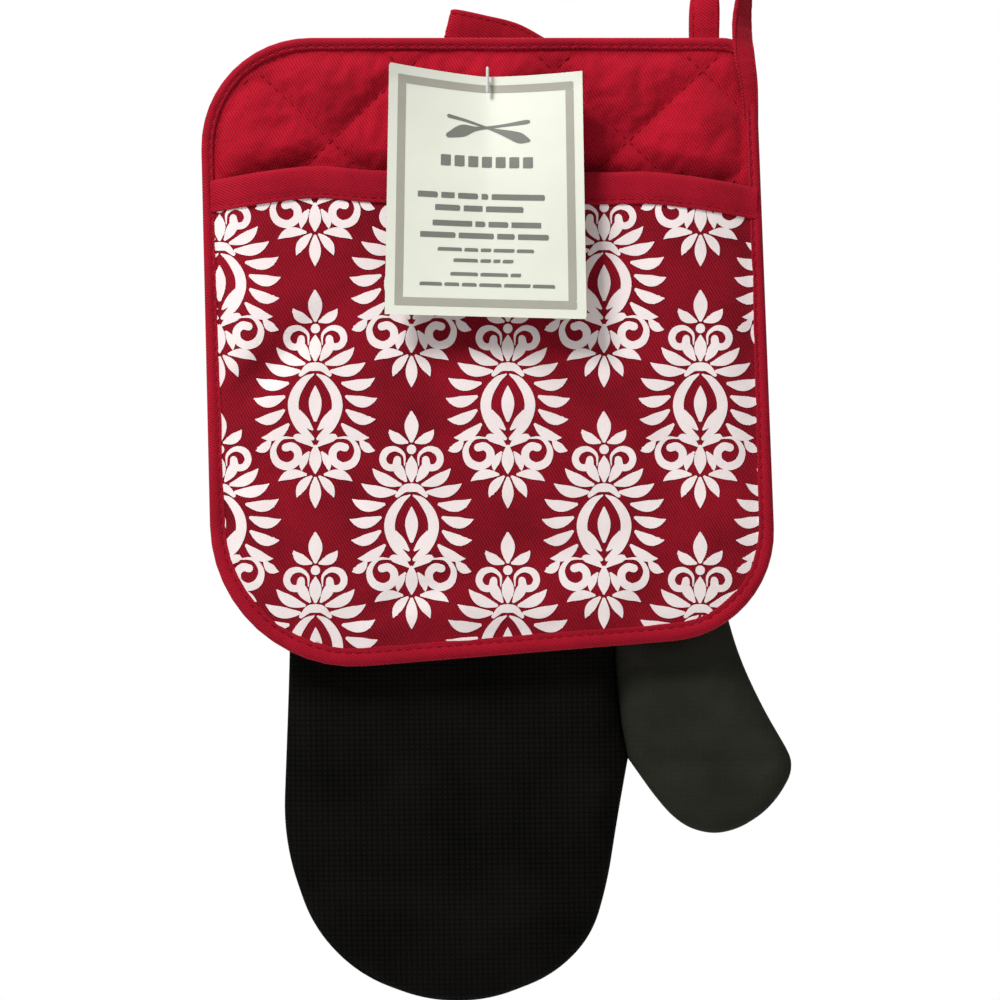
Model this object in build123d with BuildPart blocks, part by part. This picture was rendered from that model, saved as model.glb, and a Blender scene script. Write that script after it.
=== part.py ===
"""Neoprene oven mitt, tacked behind its matching pocket pot holder by the pin of a swing tag.

Row frame: +X to the right and +Z up as the set hangs, and -Y towards whoever looks at the front.
The origin is the inside top of the hanging loop, where a hook bears. All sizes are millimetres.
Layers from front to back: tag, pocket, pot holder, mitt.
"""

import math
import os

from build123d import *

# Pot holder: a quilted pad with one square corner, where the loop is, and three round ones.
PAD_TOP = -37.0
PAD_WIDTH_TOP = 193.0
PAD_RIGHT_TOP = 10.0
PAD_HEIGHT_RIGHT = 206.2
PAD_HEIGHT_LEFT = 222.2
PAD_LEAN_LEFT = 5.0
PAD_LEAN_RIGHT = 8.0
PAD_RADIUS_TOP = 38.0
PAD_RADIUS_LEFT = 50.0
PAD_RADIUS_RIGHT = 38.0
PAD_RADIUS_LOOP_CORNER = 12.0
PAD_FRONT = -3.4
PAD_BACK = 3.4
TWILL = 1.0
NEOPRENE_PAD = 2.4
BINDING_WIDTH = 6.5
BINDING_THICK = 1.0

# Pocket on the front of the pot holder, open at the top.
POCKET_MOUTH = -86.4
POCKET_GAP = 5.4
POCKET_LINING = 0.5
POCKET_TWILL = 0.7
POCKET_SLOPE = 5.0
POCKET_BAND_HEIGHT = 10.6
POCKET_BAND_THICK = 0.8

# Hanging loop of the pot holder, and the mitt's own loop, pinched where it is sewn into the cuff.
TAPE_WIDTH = 10.0
TAPE_THICK = 1.8
FOOT_GAP = 1.4
LOOP_RADIUS = 7.0
MITT_LOOP_MIDDLE = -80.5
MITT_LOOP_HALF_SPAN = 14.0
MITT_LOOP_TOP = -27.0
MITT_LOOP_PINCH = 4.0

# Mitt: a flat pillow with bevelled rims and a slit between fingers and thumb.
MITT_MIDDLE = 13.1
MITT_THICK = 14.6
CUFF_TOP = -41.0
CUFF_LEFT = -156.0
CUFF_RIGHT = -4.0
FINGER_TIP = -372.0
THUMB_TIP = -314.3
CREASE_TOP = (-38.6, -203.0)
CREASE_LOW = (-33.6, -280.0)
CREASE_GAP = 1.6
RIM_BEVEL = 5.2
BEVEL_SHARE = 2 - math.sqrt(2)
ABOVE_CUFF = 40.0
NEOPRENE_MITT = 3.2
BACK_COVER = 1.0
MITT_LINING = 0.8
CUFF_BINDING = 0.9
CUFF_BINDING_HEIGHT = 10.5

# Folds of the mitt in use: across the fingers, and slanting across the root of the thumb.
FINGER_FOLD = -266.0
THUMB_FOLD_LEFT = (-35.7, -261.0)
THUMB_FOLD_RIGHT = (8.5, -245.2)
FOLD_GAP = 0.4

# Swing tag and its plastic pin.
PIN = (-82.8, -52.7)
TAG_WIDTH = 68.0
TAG_TOP = -48.2
TAG_HEIGHT = 85.0
TAG_THICK = 0.5
TAG_FRONT_AT_PIN = -6.8
TAG_WING_LIFT = 9.0
TAG_STAND_OFF = -17.6
TAG_HOLE = 1.3
PIN_RADIUS = 0.35
PIN_HOLE = 0.7
PIN_BAR_RADIUS = 0.55
PIN_BAR_LENGTH = 9.2
PIN_BAR_AHEAD = 2.9
PIN_BACK = 10.6
PIN_PADDLE = (6.0, 1.0, 2.4)

FAR = 400.0


def front_plane(y):
    """The vertical plane at depth y, seen from the front: its x is +X, its y is +Z."""
    return Plane.XZ.offset(-y)


def pad_outline(inset, loop_corner=PAD_RADIUS_LOOP_CORNER):
    """The pot holder's outline, moved inwards by inset."""
    left, right, top = PAD_RIGHT_TOP - PAD_WIDTH_TOP, PAD_RIGHT_TOP, PAD_TOP
    corners = [
        (left, top),
        (right, top),
        (right + PAD_LEAN_RIGHT, top - PAD_HEIGHT_RIGHT),
        (left + PAD_LEAN_LEFT, top - PAD_HEIGHT_LEFT),
    ]
    radii = [PAD_RADIUS_TOP, loop_corner, PAD_RADIUS_RIGHT, PAD_RADIUS_LEFT]
    with BuildSketch() as outline:
        with BuildLine():
            Polyline(*corners, close=True)
        make_face()
        for corner, radius in zip(corners, radii):
            nearest = outline.vertices().sort_by_distance(Vector(*corner))[0]
            fillet(nearest, radius)
        if inset:
            offset(amount=-inset, kind=Kind.INTERSECTION)
    return outline.sketch_local


def pad_slab(front, back, inset):
    """A slab of the pot holder's outline between two depths."""
    with BuildPart() as slab:
        with BuildSketch(front_plane(back)):
            add(pad_outline(inset))
        extrude(amount=back - front)
    return slab.part


def block_between(low_z, high_z):
    """Everything between two heights."""
    with BuildPart() as block:
        with Locations((0, 0, (low_z + high_z) / 2)):
            Box(2 * FAR, 2 * FAR, high_z - low_z)
    return block.part


def pin_bore(radius, front, back):
    """A round rod along the pin, between two depths."""
    with BuildPart() as rod:
        with BuildSketch(front_plane(back)):
            with Locations(PIN):
                Circle(radius)
        extrude(amount=back - front)
    return rod.part


def pocket_block(outset, mouth):
    """The pocket's bulge as a solid block with sloping sides, grown by outset."""
    depth = POCKET_GAP + outset
    with BuildPart() as block:
        with BuildSketch(front_plane(PAD_FRONT)):
            seam = BINDING_WIDTH + POCKET_LINING + POCKET_TWILL
            add(pad_outline(seam - outset, PAD_RADIUS_TOP))
        extrude(amount=depth)
        rim = block.faces().sort_by(Axis.Y)[0].edges()
        chamfer(rim, POCKET_SLOPE + outset)
        add(block_between(-FAR, mouth), mode=Mode.INTERSECT)
    return block.part


def make_pot_holder():
    """Front panel, batting, neoprene back and the binding that wraps their edge."""
    batting_front = PAD_FRONT + TWILL
    batting_back = PAD_BACK - NEOPRENE_PAD
    layers = {
        "potholder_front_panel": (PAD_FRONT, batting_front),
        "potholder_batting": (batting_front, batting_back),
        "potholder_back_panel": (batting_back, PAD_BACK),
    }
    made = {}
    for name, (front, back) in layers.items():
        with BuildPart() as layer:
            add(pad_slab(front, back, BINDING_THICK))
            add(pin_bore(PIN_HOLE, front, back), mode=Mode.SUBTRACT)
        made[name] = layer.part
    with BuildPart() as binding:
        add(pad_slab(PAD_FRONT - BINDING_THICK, PAD_BACK + BINDING_THICK, 0))
        add(pad_slab(-FAR, FAR, BINDING_WIDTH), mode=Mode.SUBTRACT)
        add(pad_slab(PAD_FRONT, PAD_BACK, BINDING_THICK), mode=Mode.SUBTRACT)
    made["edge_binding"] = binding.part
    return made


def make_pocket():
    """Printed pocket panel, its lining and the band that binds its mouth."""
    with BuildPart() as lining:
        add(pocket_block(POCKET_LINING, POCKET_MOUTH))
        add(pocket_block(0, POCKET_MOUTH), mode=Mode.SUBTRACT)
    with BuildPart() as panel:
        add(pocket_block(POCKET_LINING + POCKET_TWILL, POCKET_MOUTH))
        add(pocket_block(POCKET_LINING, POCKET_MOUTH), mode=Mode.SUBTRACT)
    band_top = POCKET_MOUTH + POCKET_BAND_THICK
    whole = POCKET_LINING + POCKET_TWILL
    edge_tape = pad_slab(PAD_FRONT - BINDING_THICK, PAD_BACK, 0) - pad_slab(-FAR, FAR, BINDING_WIDTH)
    with BuildPart() as band:
        add(pocket_block(whole + POCKET_BAND_THICK - 0.1, band_top))
        add(pocket_block(-POCKET_BAND_THICK + 0.2, band_top), mode=Mode.SUBTRACT)
        add(block_between(band_top - POCKET_BAND_HEIGHT, band_top), mode=Mode.INTERSECT)
        add(pocket_block(whole, POCKET_MOUTH), mode=Mode.SUBTRACT)
        add(edge_tape, mode=Mode.SUBTRACT)
    return {"pocket_lining": lining.part, "pocket_panel": panel.part, "pocket_binding": band.part}


def rounded(points):
    """A closed face whose corners are arcs, each as large as half its shorter side allows."""
    count = len(points)
    radii = []
    for i, corner in enumerate(points):
        before = Vector(*points[i - 1]) - Vector(*corner)
        after = Vector(*points[(i + 1) % count]) - Vector(*corner)
        half_turn = math.radians((180 - before.get_angle(after)) / 2)
        run = min(before.length, after.length)
        radii.append(0.49 * run / math.tan(half_turn))
    with BuildSketch() as face:
        with BuildLine():
            FilletPolyline(*points, radius=radii, close=True)
        make_face()
    return face.sketch_local


def mitt_outline():
    """Hand, fingers and thumb seen from the front, with the slit between fingers and thumb."""
    high = CUFF_TOP + ABOVE_CUFF
    slit_end = CREASE_TOP[1]
    return rounded([
        (CUFF_LEFT - 1, high),
        (-152.5, -130),
        (-151.0, -235),
        (-153.8, FINGER_TIP + 56),
        (-143.3, FINGER_TIP + 25),
        (-127.0, FINGER_TIP + 8.5),
        (-103.5, FINGER_TIP),
        (-83.0, FINGER_TIP),
        (-60.0, FINGER_TIP + 8.5),
        (-47.0, FINGER_TIP + 21.5),
        (-41.0, FINGER_TIP + 39),
        (CREASE_LOW[0] - CREASE_GAP / 2, CREASE_LOW[1]),
        (CREASE_TOP[0] - CREASE_GAP / 2, slit_end),
        (CREASE_TOP[0] + CREASE_GAP / 2, slit_end),
        (CREASE_LOW[0] + CREASE_GAP / 2, CREASE_LOW[1]),
        (-27.5, THUMB_TIP + 16),
        (-17.0, THUMB_TIP + 3.5),
        (-2.0, THUMB_TIP),
        (11.0, THUMB_TIP + 4.5),
        (21.5, THUMB_TIP + 15.5),
        (23.0, THUMB_TIP + 27.5),
        (5.0, THUMB_TIP + 61),
        (-9.0, THUMB_TIP + 110),
        (-9.0, -120),
        (CUFF_RIGHT, high),
    ])


def cuff_outline():
    """The same sides as the mitt's outline, closed off just below the cuff."""
    high = CUFF_TOP + ABOVE_CUFF
    return rounded([
        (CUFF_LEFT - 1, high), (-152.5, -130), (-80, -150), (-9.0, -120), (CUFF_RIGHT, high),
    ])


def pillow(outline, inset):
    """A pillow with bevelled rims about the mitt's middle plane, moved inwards by inset."""
    half = MITT_THICK / 2 - inset
    with BuildPart() as solid:
        with BuildSketch(front_plane(MITT_MIDDLE)):
            add(outline)
            if inset:
                offset(amount=-inset, kind=Kind.INTERSECTION)
        extrude(amount=half, both=True)
        rims = solid.faces().filter_by(Axis.Y).edges()
        chamfer(rims, RIM_BEVEL - BEVEL_SHARE * inset)
    return solid.part


def zone(points, front, back):
    """A prism over a polygon seen from the front, between two depths."""
    with BuildPart() as prism:
        with BuildSketch(front_plane(back)):
            with BuildLine():
                Polyline(*points, close=True)
            make_face()
        extrude(amount=back - front)
    return prism.part


def crease_at(z):
    """X of the middle of the crease between fingers and thumb, at height z."""
    slope = (CREASE_LOW[0] - CREASE_TOP[0]) / (CREASE_LOW[1] - CREASE_TOP[1])
    return CREASE_TOP[0] + slope * (z - CREASE_TOP[1])


def thumb_fold_at(x):
    """Height of the thumb's fold line at x."""
    (x0, z0), (x1, z1) = THUMB_FOLD_LEFT, THUMB_FOLD_RIGHT
    return z0 + (z1 - z0) * (x - x0) / (x1 - x0)


def mitt_zones(front, back):
    """Prisms that hold the fingers, the thumb and the hand, with a hair of room between them."""
    low = -FAR
    finger_cut, gap = FINGER_FOLD - FOLD_GAP / 2, FOLD_GAP / 2
    x_fold, x_low, x_side = crease_at(finger_cut), crease_at(CREASE_LOW[1]), 60.0
    fingers = [(-FAR, finger_cut), (x_fold, finger_cut), (x_low, low), (-FAR, low)]
    x_thumb = crease_at(thumb_fold_at(THUMB_FOLD_LEFT[0]))
    thumb = [
        (x_thumb, thumb_fold_at(x_thumb) - gap),
        (x_side, thumb_fold_at(x_side) - gap),
        (x_side, low),
        (x_low, low),
    ]
    hand = [
        (-FAR, FINGER_FOLD + gap),
        (crease_at(FINGER_FOLD), FINGER_FOLD + gap),
        (x_thumb, thumb_fold_at(x_thumb) + gap),
        (x_side, thumb_fold_at(x_side) + gap),
        (x_side, CUFF_TOP),
        (-FAR, CUFF_TOP),
    ]
    zones = {"fingers": fingers, "thumb": thumb, "hand": hand}
    return {name: zone(points, front, back) for name, points in zones.items()}


def make_mitt():
    """Neoprene palm, covered and padded back, and lining, each in hand, fingers and thumb."""
    outline = mitt_outline()
    outer, under_cover = pillow(outline, 0), pillow(outline, BACK_COVER)
    inner, cavity = pillow(outline, NEOPRENE_MITT), pillow(outline, NEOPRENE_MITT + MITT_LINING)
    layers = {
        "palm_panel": (outer, inner, -FAR, MITT_MIDDLE),
        "back_cover": (outer, under_cover, MITT_MIDDLE, FAR),
        "back_batting": (under_cover, inner, MITT_MIDDLE, FAR),
        "lining": (inner, cavity, -FAR, FAR),
    }
    made = {}
    for layer_name, (shell, hollow, front, back) in layers.items():
        for part_name, prism in mitt_zones(front, back).items():
            with BuildPart() as piece:
                add(shell)
                add(hollow, mode=Mode.SUBTRACT)
                add(prism, mode=Mode.INTERSECT)
                if part_name == "hand" and layer_name in ("palm_panel", "lining"):
                    add(pin_bore(PIN_HOLE, 0, MITT_MIDDLE), mode=Mode.SUBTRACT)
            made[f"{layer_name}_{part_name}"] = piece.part
    return made


def make_cuff_binding():
    """A strip folded over the whole edge of the cuff, inside and out."""
    outline, wall = cuff_outline(), NEOPRENE_MITT + MITT_LINING
    top = CUFF_TOP + CUFF_BINDING
    edge = (pillow(outline, 0) - pillow(outline, wall)) & block_between(-FAR, CUFF_TOP)
    with BuildPart() as binding:
        add(pillow(outline, -CUFF_BINDING))
        add(pillow(outline, wall + CUFF_BINDING), mode=Mode.SUBTRACT)
        add(block_between(top - CUFF_BINDING_HEIGHT, top), mode=Mode.INTERSECT)
        add(edge, mode=Mode.SUBTRACT)
    return {"cuff_binding": binding.part}


def tape(stations):
    """Tape lofted through stations: centre, direction along it, direction and size of its width."""
    with BuildPart() as solid:
        for centre, along, across, width in stations:
            with BuildSketch(Plane(origin=centre, x_dir=across, z_dir=along)):
                Rectangle(width, TAPE_THICK)
        loft()
    return solid.part


def make_hanging_loop():
    """Tape that stands up flat from one foot, turns edge-on over a round crown and comes down."""
    foot, spring = PAD_TOP + FOOT_GAP, TAPE_THICK / 2 - LOOP_RADIUS
    legs = {}
    for side in (-1, 1):
        legs[side] = []
        for share in (0, 0.35, 0.7):
            twist = math.radians(90 * share)
            centre = (side * LOOP_RADIUS, 0, foot + (spring - foot) * share)
            across = (-side * math.cos(twist), math.sin(twist), 0)
            legs[side].append((centre, (0, 0, -side), across, TAPE_WIDTH))
    crown = []
    for turn in (180, 135, 90, 45, 0):
        a = math.radians(turn)
        centre = (LOOP_RADIUS * math.cos(a), 0, spring + LOOP_RADIUS * math.sin(a))
        crown.append((centre, (math.sin(a), 0, -math.cos(a)), (0, 1, 0), TAPE_WIDTH))
    return tape(legs[-1] + crown + legs[1][::-1])


def make_mitt_loop():
    """A low arch of tape on the back of the cuff, edge-on to the cuff."""
    depth = MITT_MIDDLE + MITT_THICK / 2 - (NEOPRENE_MITT + MITT_LINING) / 2
    foot = CUFF_TOP + CUFF_BINDING + FOOT_GAP
    rise = MITT_LOOP_TOP - TAPE_THICK / 2 - foot
    stations = []
    for turn in range(180, -1, -30):
        a = math.radians(turn)
        x = MITT_LOOP_MIDDLE + MITT_LOOP_HALF_SPAN * math.cos(a)
        along = (MITT_LOOP_HALF_SPAN * math.sin(a), 0, -rise * math.cos(a))
        width = MITT_LOOP_PINCH + (TAPE_WIDTH - MITT_LOOP_PINCH) * math.sin(a)
        stations.append(((x, depth, foot + rise * math.sin(a)), along, (0, 1, 0), width))
    return tape(stations)


def make_tag():
    """The card, bent along its middle where the pin pulls it back, and the pin."""
    sections = [
        (TAG_TOP, TAG_FRONT_AT_PIN, TAG_WING_LIFT),
        (POCKET_MOUTH, TAG_FRONT_AT_PIN - 5.2, TAG_WING_LIFT / 2.5),
        (TAG_TOP - TAG_HEIGHT, TAG_STAND_OFF, 0.3),
    ]
    half = TAG_WIDTH / 2
    with BuildPart() as card:
        for height, middle, lift in sections:
            with BuildSketch(Plane.XY.offset(height)):
                with BuildLine():
                    Polyline(
                        (PIN[0] - half, middle - lift),
                        (PIN[0], middle),
                        (PIN[0] + half, middle - lift),
                        (PIN[0] + half, middle - lift - TAG_THICK),
                        (PIN[0], middle - TAG_THICK),
                        (PIN[0] - half, middle - lift - TAG_THICK),
                        close=True,
                    )
                make_face()
        loft(ruled=True)
        add(pin_bore(TAG_HOLE, -FAR, 0), mode=Mode.SUBTRACT)
    bar_depth = TAG_FRONT_AT_PIN - PIN_BAR_AHEAD
    with BuildPart() as pin:
        add(pin_bore(PIN_RADIUS, bar_depth, PIN_BACK))
        with Locations((PIN[0], bar_depth, PIN[1])):
            Cylinder(PIN_BAR_RADIUS, PIN_BAR_LENGTH)
        with Locations((PIN[0], PIN_BACK, PIN[1])):
            Box(*PIN_PADDLE)
    return {"hang_tag": card.part, "tag_pin": pin.part}


pieces = {
    **make_pot_holder(),
    **make_pocket(),
    **make_mitt(),
    **make_cuff_binding(),
    **make_tag(),
    "hanging_loop": make_hanging_loop(),
    "mitt_loop": make_mitt_loop(),
}
os.makedirs("parts", exist_ok=True)
for name, piece in pieces.items():
    piece.label = name
    export_step(piece, f"parts/{name}.step")
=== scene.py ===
import math

import bpy
import numpy as np
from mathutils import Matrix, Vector, noise
from mathutils.bvhtree import BVHTree
from mathutils.geometry import delaunay_2d_cdt


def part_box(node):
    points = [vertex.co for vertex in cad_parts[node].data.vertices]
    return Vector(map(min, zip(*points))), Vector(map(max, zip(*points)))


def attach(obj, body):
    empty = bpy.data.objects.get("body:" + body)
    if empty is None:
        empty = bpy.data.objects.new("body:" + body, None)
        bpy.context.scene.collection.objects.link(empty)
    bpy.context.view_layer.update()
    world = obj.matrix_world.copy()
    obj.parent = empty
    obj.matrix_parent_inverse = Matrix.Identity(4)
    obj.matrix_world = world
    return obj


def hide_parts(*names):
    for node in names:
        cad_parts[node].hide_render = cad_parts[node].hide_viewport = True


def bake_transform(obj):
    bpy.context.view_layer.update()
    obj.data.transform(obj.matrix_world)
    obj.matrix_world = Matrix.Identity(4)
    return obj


# The looks of an oven mitt that hangs behind its matching pot holder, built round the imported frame:
# the quilted pot holder with its printed pocket, the mitt, their loops, the swing tag and the stage.

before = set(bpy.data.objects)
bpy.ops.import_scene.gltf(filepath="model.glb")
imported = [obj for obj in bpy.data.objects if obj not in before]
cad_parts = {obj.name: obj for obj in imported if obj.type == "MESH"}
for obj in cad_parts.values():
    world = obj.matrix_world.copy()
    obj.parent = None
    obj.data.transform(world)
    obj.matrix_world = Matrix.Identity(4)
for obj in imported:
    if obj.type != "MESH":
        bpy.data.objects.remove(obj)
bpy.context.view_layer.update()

# Everything below is worked out in millimetres in the row frame, and MM turns it into metres.
MM = 0.001
PAD_BOX = [Vector(p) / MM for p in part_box("edge_binding")]
MITT_BOX = [Vector(p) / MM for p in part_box("palm_panel_hand")]
BACK_BOX = [Vector(p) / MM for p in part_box("back_cover_hand")]
PIN_BOX = [Vector(p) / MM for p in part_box("tag_pin")]
LOOP_BOX = [Vector(p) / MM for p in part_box("mitt_loop")]

# Pot holder.
PAD_TOP, PAD_FRONT, PAD_BACK = PAD_BOX[1].z, PAD_BOX[0].y + 1.0, PAD_BOX[1].y - 1.0
PAD_CORNERS = [(-183.0, PAD_TOP), (10.0, PAD_TOP), (18.0, PAD_TOP - 206.2), (-178.0, PAD_TOP - 222.2)]
PAD_RADII = [38.0, 12.0, 38.0, 50.0]
QUILT_CENTRE = (-137.0, -73.0)
QUILT_PITCH = (51.4, 48.4)
QUILT_PUFF = 2.9

# Pocket: the height of its mouth at a few places, left to right.
MOUTH = [(-183, -88.0), (-172, -86.6), (-143, -83.0), (-118, -84.4), (-49, -85.0), (-24, -85.1), (12, -90.0)]
BAND_HEIGHT = 10.4

# Mitt.
MITT_MIDDLE = (MITT_BOX[0].y + BACK_BOX[1].y) / 2
MITT_HALF = MITT_MIDDLE - MITT_BOX[0].y
CUFF_TOP = MITT_BOX[1].z
CUFF_LEFT, CUFF_RIGHT = -156.0, -4.0

# The palm's worn tone fades in between two heights, right of the crease and above the thumb's cut.
WORN_FADE = (-205.0, -236.0)
WORN_RIGHT_OF, WORN_ABOVE = -38.4, -250.0

# Thickness of the mitt's walls and of its lining, which starts LINING_DEPTH in from the outside.
WALL, LINING_WALL, LINING_DEPTH = 3.0, 0.7, 3.05

# Printed ink: how far it stands off its cloth, and how far its underside sinks in.
INK_LIFT, INK_SINK = 0.2, 0.15

# Stage.
FLOOR_HALF, FLOOR_Z = 2200.0, -780.0

# Camera: square on to the front.
VIEW_CENTRE = (-78.5, -197.2)
VIEW_WIDTH = 346.0
VIEW_DISTANCE = 1100.0


# ---------------------------------------------------------------- materials

def calc(tree, operation, a, b=0.0, c=0.0):
    """A Math node; each input is a number or a socket."""
    node = tree.nodes.new("ShaderNodeMath")
    node.operation = operation
    for slot, value in zip(node.inputs, (a, b, c)):
        if isinstance(value, (int, float)):
            slot.default_value = value
        else:
            tree.links.new(value, slot)
    return node.outputs[0]


def mix_colour(tree, factor, a, b):
    """A colour between a and b; each is a colour or a socket."""
    node = tree.nodes.new("ShaderNodeMix")
    node.data_type = "RGBA"
    tree.links.new(factor, node.inputs[0])
    for slot, value in zip((node.inputs[6], node.inputs[7]), (a, b)):
        if isinstance(value, tuple):
            slot.default_value = (*value, 1.0)
        else:
            tree.links.new(value, slot)
    return node.outputs[2]


def rest_place(tree):
    """Where the point was at rest, in millimetres, so that the pattern stays on the cloth."""
    node = tree.nodes.new("ShaderNodeAttribute")
    node.attribute_name = "rest"
    return node.outputs["Vector"]


def stripes(tree, place, direction, period, wobble=None):
    """A sine from 0 to 1 across stripes, repeated every period millimetres along direction."""
    node = tree.nodes.new("ShaderNodeVectorMath")
    node.operation = "DOT_PRODUCT"
    tree.links.new(place, node.inputs[0])
    node.inputs[1].default_value = Vector(direction).normalized() * (2 * math.pi / period)
    phase = node.outputs["Value"]
    if wobble is not None:
        phase = calc(tree, "ADD", phase, wobble)
    return calc(tree, "MULTIPLY_ADD", calc(tree, "SINE", phase), 0.5, 0.5)


def speckle(tree, place, size, detail=2.0):
    """Noise from 0 to 1 with features of about size millimetres."""
    node = tree.nodes.new("ShaderNodeTexNoise")
    node.inputs["Scale"].default_value = 1.0 / size
    node.inputs["Detail"].default_value = detail
    tree.links.new(place, node.inputs["Vector"])
    return node.outputs["Fac"]


def new_material(name, roughness, specular, sheen=0.0, coat=0.0):
    """A material with its fixed values set on the shader, and the tools to add a pattern."""
    made = bpy.data.materials.new(name)
    made.use_nodes = True
    tree = made.node_tree
    shader = tree.nodes["Principled BSDF"]
    shader.inputs["Roughness"].default_value = roughness
    shader.inputs["Specular IOR Level"].default_value = specular
    shader.inputs["Sheen Weight"].default_value = sheen
    shader.inputs["Sheen Roughness"].default_value = 0.5
    shader.inputs["Coat Weight"].default_value = coat
    shader.inputs["Coat Roughness"].default_value = 0.15
    return made, tree, shader


def finish_material(tree, shader, colour, height, strength, depth):
    """Joins a colour and a bump of depth millimetres to the shader."""
    tree.links.new(colour, shader.inputs["Base Color"])
    bump = tree.nodes.new("ShaderNodeBump")
    bump.inputs["Strength"].default_value = strength
    bump.inputs["Distance"].default_value = depth * MM
    tree.links.new(height, bump.inputs["Height"])
    tree.links.new(bump.outputs["Normal"], shader.inputs["Normal"])


def twill(name, light, dark, period=0.95, slope=(0.866, 0.0, 0.5), strength=1.0, sheen=0.03):
    """Twill weave: slanting ridges broken into yarn floats, a soft mottle and a little lint."""
    made, tree, shader = new_material(name, 0.85, 0.07, sheen)
    place = rest_place(tree)
    mottle = speckle(tree, place, 14.0, 3.0)
    lint = speckle(tree, place, 0.55, 3.0)
    wobble = calc(tree, "MULTIPLY_ADD", mottle, 3.0, calc(tree, "MULTIPLY", lint, 2.2))
    ridge = stripes(tree, place, slope, period, wobble)
    along = (slope[2], slope[1], -slope[0])
    float_break = stripes(tree, place, along, period * 0.8, calc(tree, "MULTIPLY", ridge, 3.0))
    height = calc(tree, "MULTIPLY_ADD", float_break, 0.3, calc(tree, "MULTIPLY", ridge, 0.7))
    height = calc(tree, "MULTIPLY_ADD", lint, 0.35, height)
    broad = speckle(tree, place, 45.0, 2.0)
    tone = calc(tree, "MULTIPLY_ADD", height, 0.75, calc(tree, "MULTIPLY_ADD", mottle, 0.5, -0.15))
    tone = calc(tree, "MULTIPLY_ADD", broad, 0.5, calc(tree, "ADD", tone, -0.25))
    colour = mix_colour(tree, tone, dark, light)
    finish_material(tree, shader, colour, height, strength, 0.3)
    return made


def neoprene(name, light, dark, grid_depth, knit_depth, worn=None):
    """Knit-faced foam cloth: a fine knit, and on the palm a faint pressed grid of small cells, with painted
    shade in its grooves.

    Where the palm runs down into the thumb it fades to the paler worn pair of colours."""
    made, tree, shader = new_material(name, 0.8, 0.03, 0.0)
    place = rest_place(tree)
    patch = speckle(tree, place, 22.0, 3.0)
    knit = speckle(tree, place, 0.45, 2.0)
    across = stripes(tree, place, (1.0, 0.0, 0.012), 1.9)
    down = stripes(tree, place, (-0.012, 0.0, 1.0), 1.75)
    groove = calc(tree, "MAXIMUM", calc(tree, "POWER", across, 5.0), calc(tree, "POWER", down, 5.0))
    pressed = calc(tree, "MULTIPLY", groove, -grid_depth)
    height = calc(tree, "MULTIPLY_ADD", knit, knit_depth, pressed)
    tone = calc(tree, "MULTIPLY_ADD", knit, 0.35, calc(tree, "MULTIPLY", patch, 0.65))
    # Painted shade: the grid's grooves are painted darker than the cells between them.
    tone = calc(tree, "MULTIPLY_ADD", groove, -0.24 * grid_depth, tone)
    colour = mix_colour(tree, tone, dark, light)
    if worn is not None:
        axes = tree.nodes.new("ShaderNodeSeparateXYZ")
        tree.links.new(place, axes.inputs[0])
        fade = tree.nodes.new("ShaderNodeMapRange")
        fade.inputs["From Min"].default_value, fade.inputs["From Max"].default_value = WORN_FADE
        tree.links.new(axes.outputs["Z"], fade.inputs["Value"])
        beside = calc(tree, "GREATER_THAN", axes.outputs["X"], WORN_RIGHT_OF)
        above = calc(tree, "GREATER_THAN", axes.outputs["Z"], WORN_ABOVE)
        share = calc(tree, "MULTIPLY", fade.outputs["Result"], calc(tree, "MULTIPLY", beside, above))
        colour = mix_colour(tree, share, colour, mix_colour(tree, tone, worn[1], worn[0]))
    finish_material(tree, shader, colour, height, 0.5, 0.3)
    return made


def plain_cloth(name, light, dark, period):
    """Plain weave, for the lining."""
    made, tree, shader = new_material(name, 0.9, 0.2, 0.1)
    place = rest_place(tree)
    warp = stripes(tree, place, (1.0, 0.0, 0.0), period)
    weft = stripes(tree, place, (0.0, 0.15, 1.0), period)
    height = calc(tree, "MULTIPLY", warp, weft)
    tone = calc(tree, "MULTIPLY_ADD", height, 0.6, calc(tree, "MULTIPLY", speckle(tree, place, 9.0), 0.4))
    finish_material(tree, shader, mix_colour(tree, tone, dark, light), height, 0.5, 0.2)
    return made


def ink(name, light, dark, roughness):
    """Pigment printed on twill: nearly matt, with the weave showing through and fine speckle."""
    made, tree, shader = new_material(name, roughness, 0.2)
    place = rest_place(tree)
    grain = speckle(tree, place, 0.4, 3.0)
    ridge = stripes(tree, place, (0.866, 0.0, 0.5), 1.05)
    height = calc(tree, "MULTIPLY_ADD", ridge, 0.35, calc(tree, "MULTIPLY", grain, 0.65))
    tone = calc(tree, "MULTIPLY_ADD", grain, 0.7, calc(tree, "MULTIPLY", speckle(tree, place, 18.0), 0.5))
    finish_material(tree, shader, mix_colour(tree, tone, dark, light), height, 0.4, 0.12)
    return made


def smooth_stock(name, light, dark, roughness, coat, grain_size, depth):
    """Coated card or moulded plastic: faint mottle and a very fine grain."""
    made, tree, shader = new_material(name, roughness, 0.4, 0.0, coat)
    place = rest_place(tree)
    tone = speckle(tree, place, 12.0, 4.0)
    colour = mix_colour(tree, tone, dark, light)
    finish_material(tree, shader, colour, speckle(tree, place, grain_size, 2.0), 0.3, depth)
    return made


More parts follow.
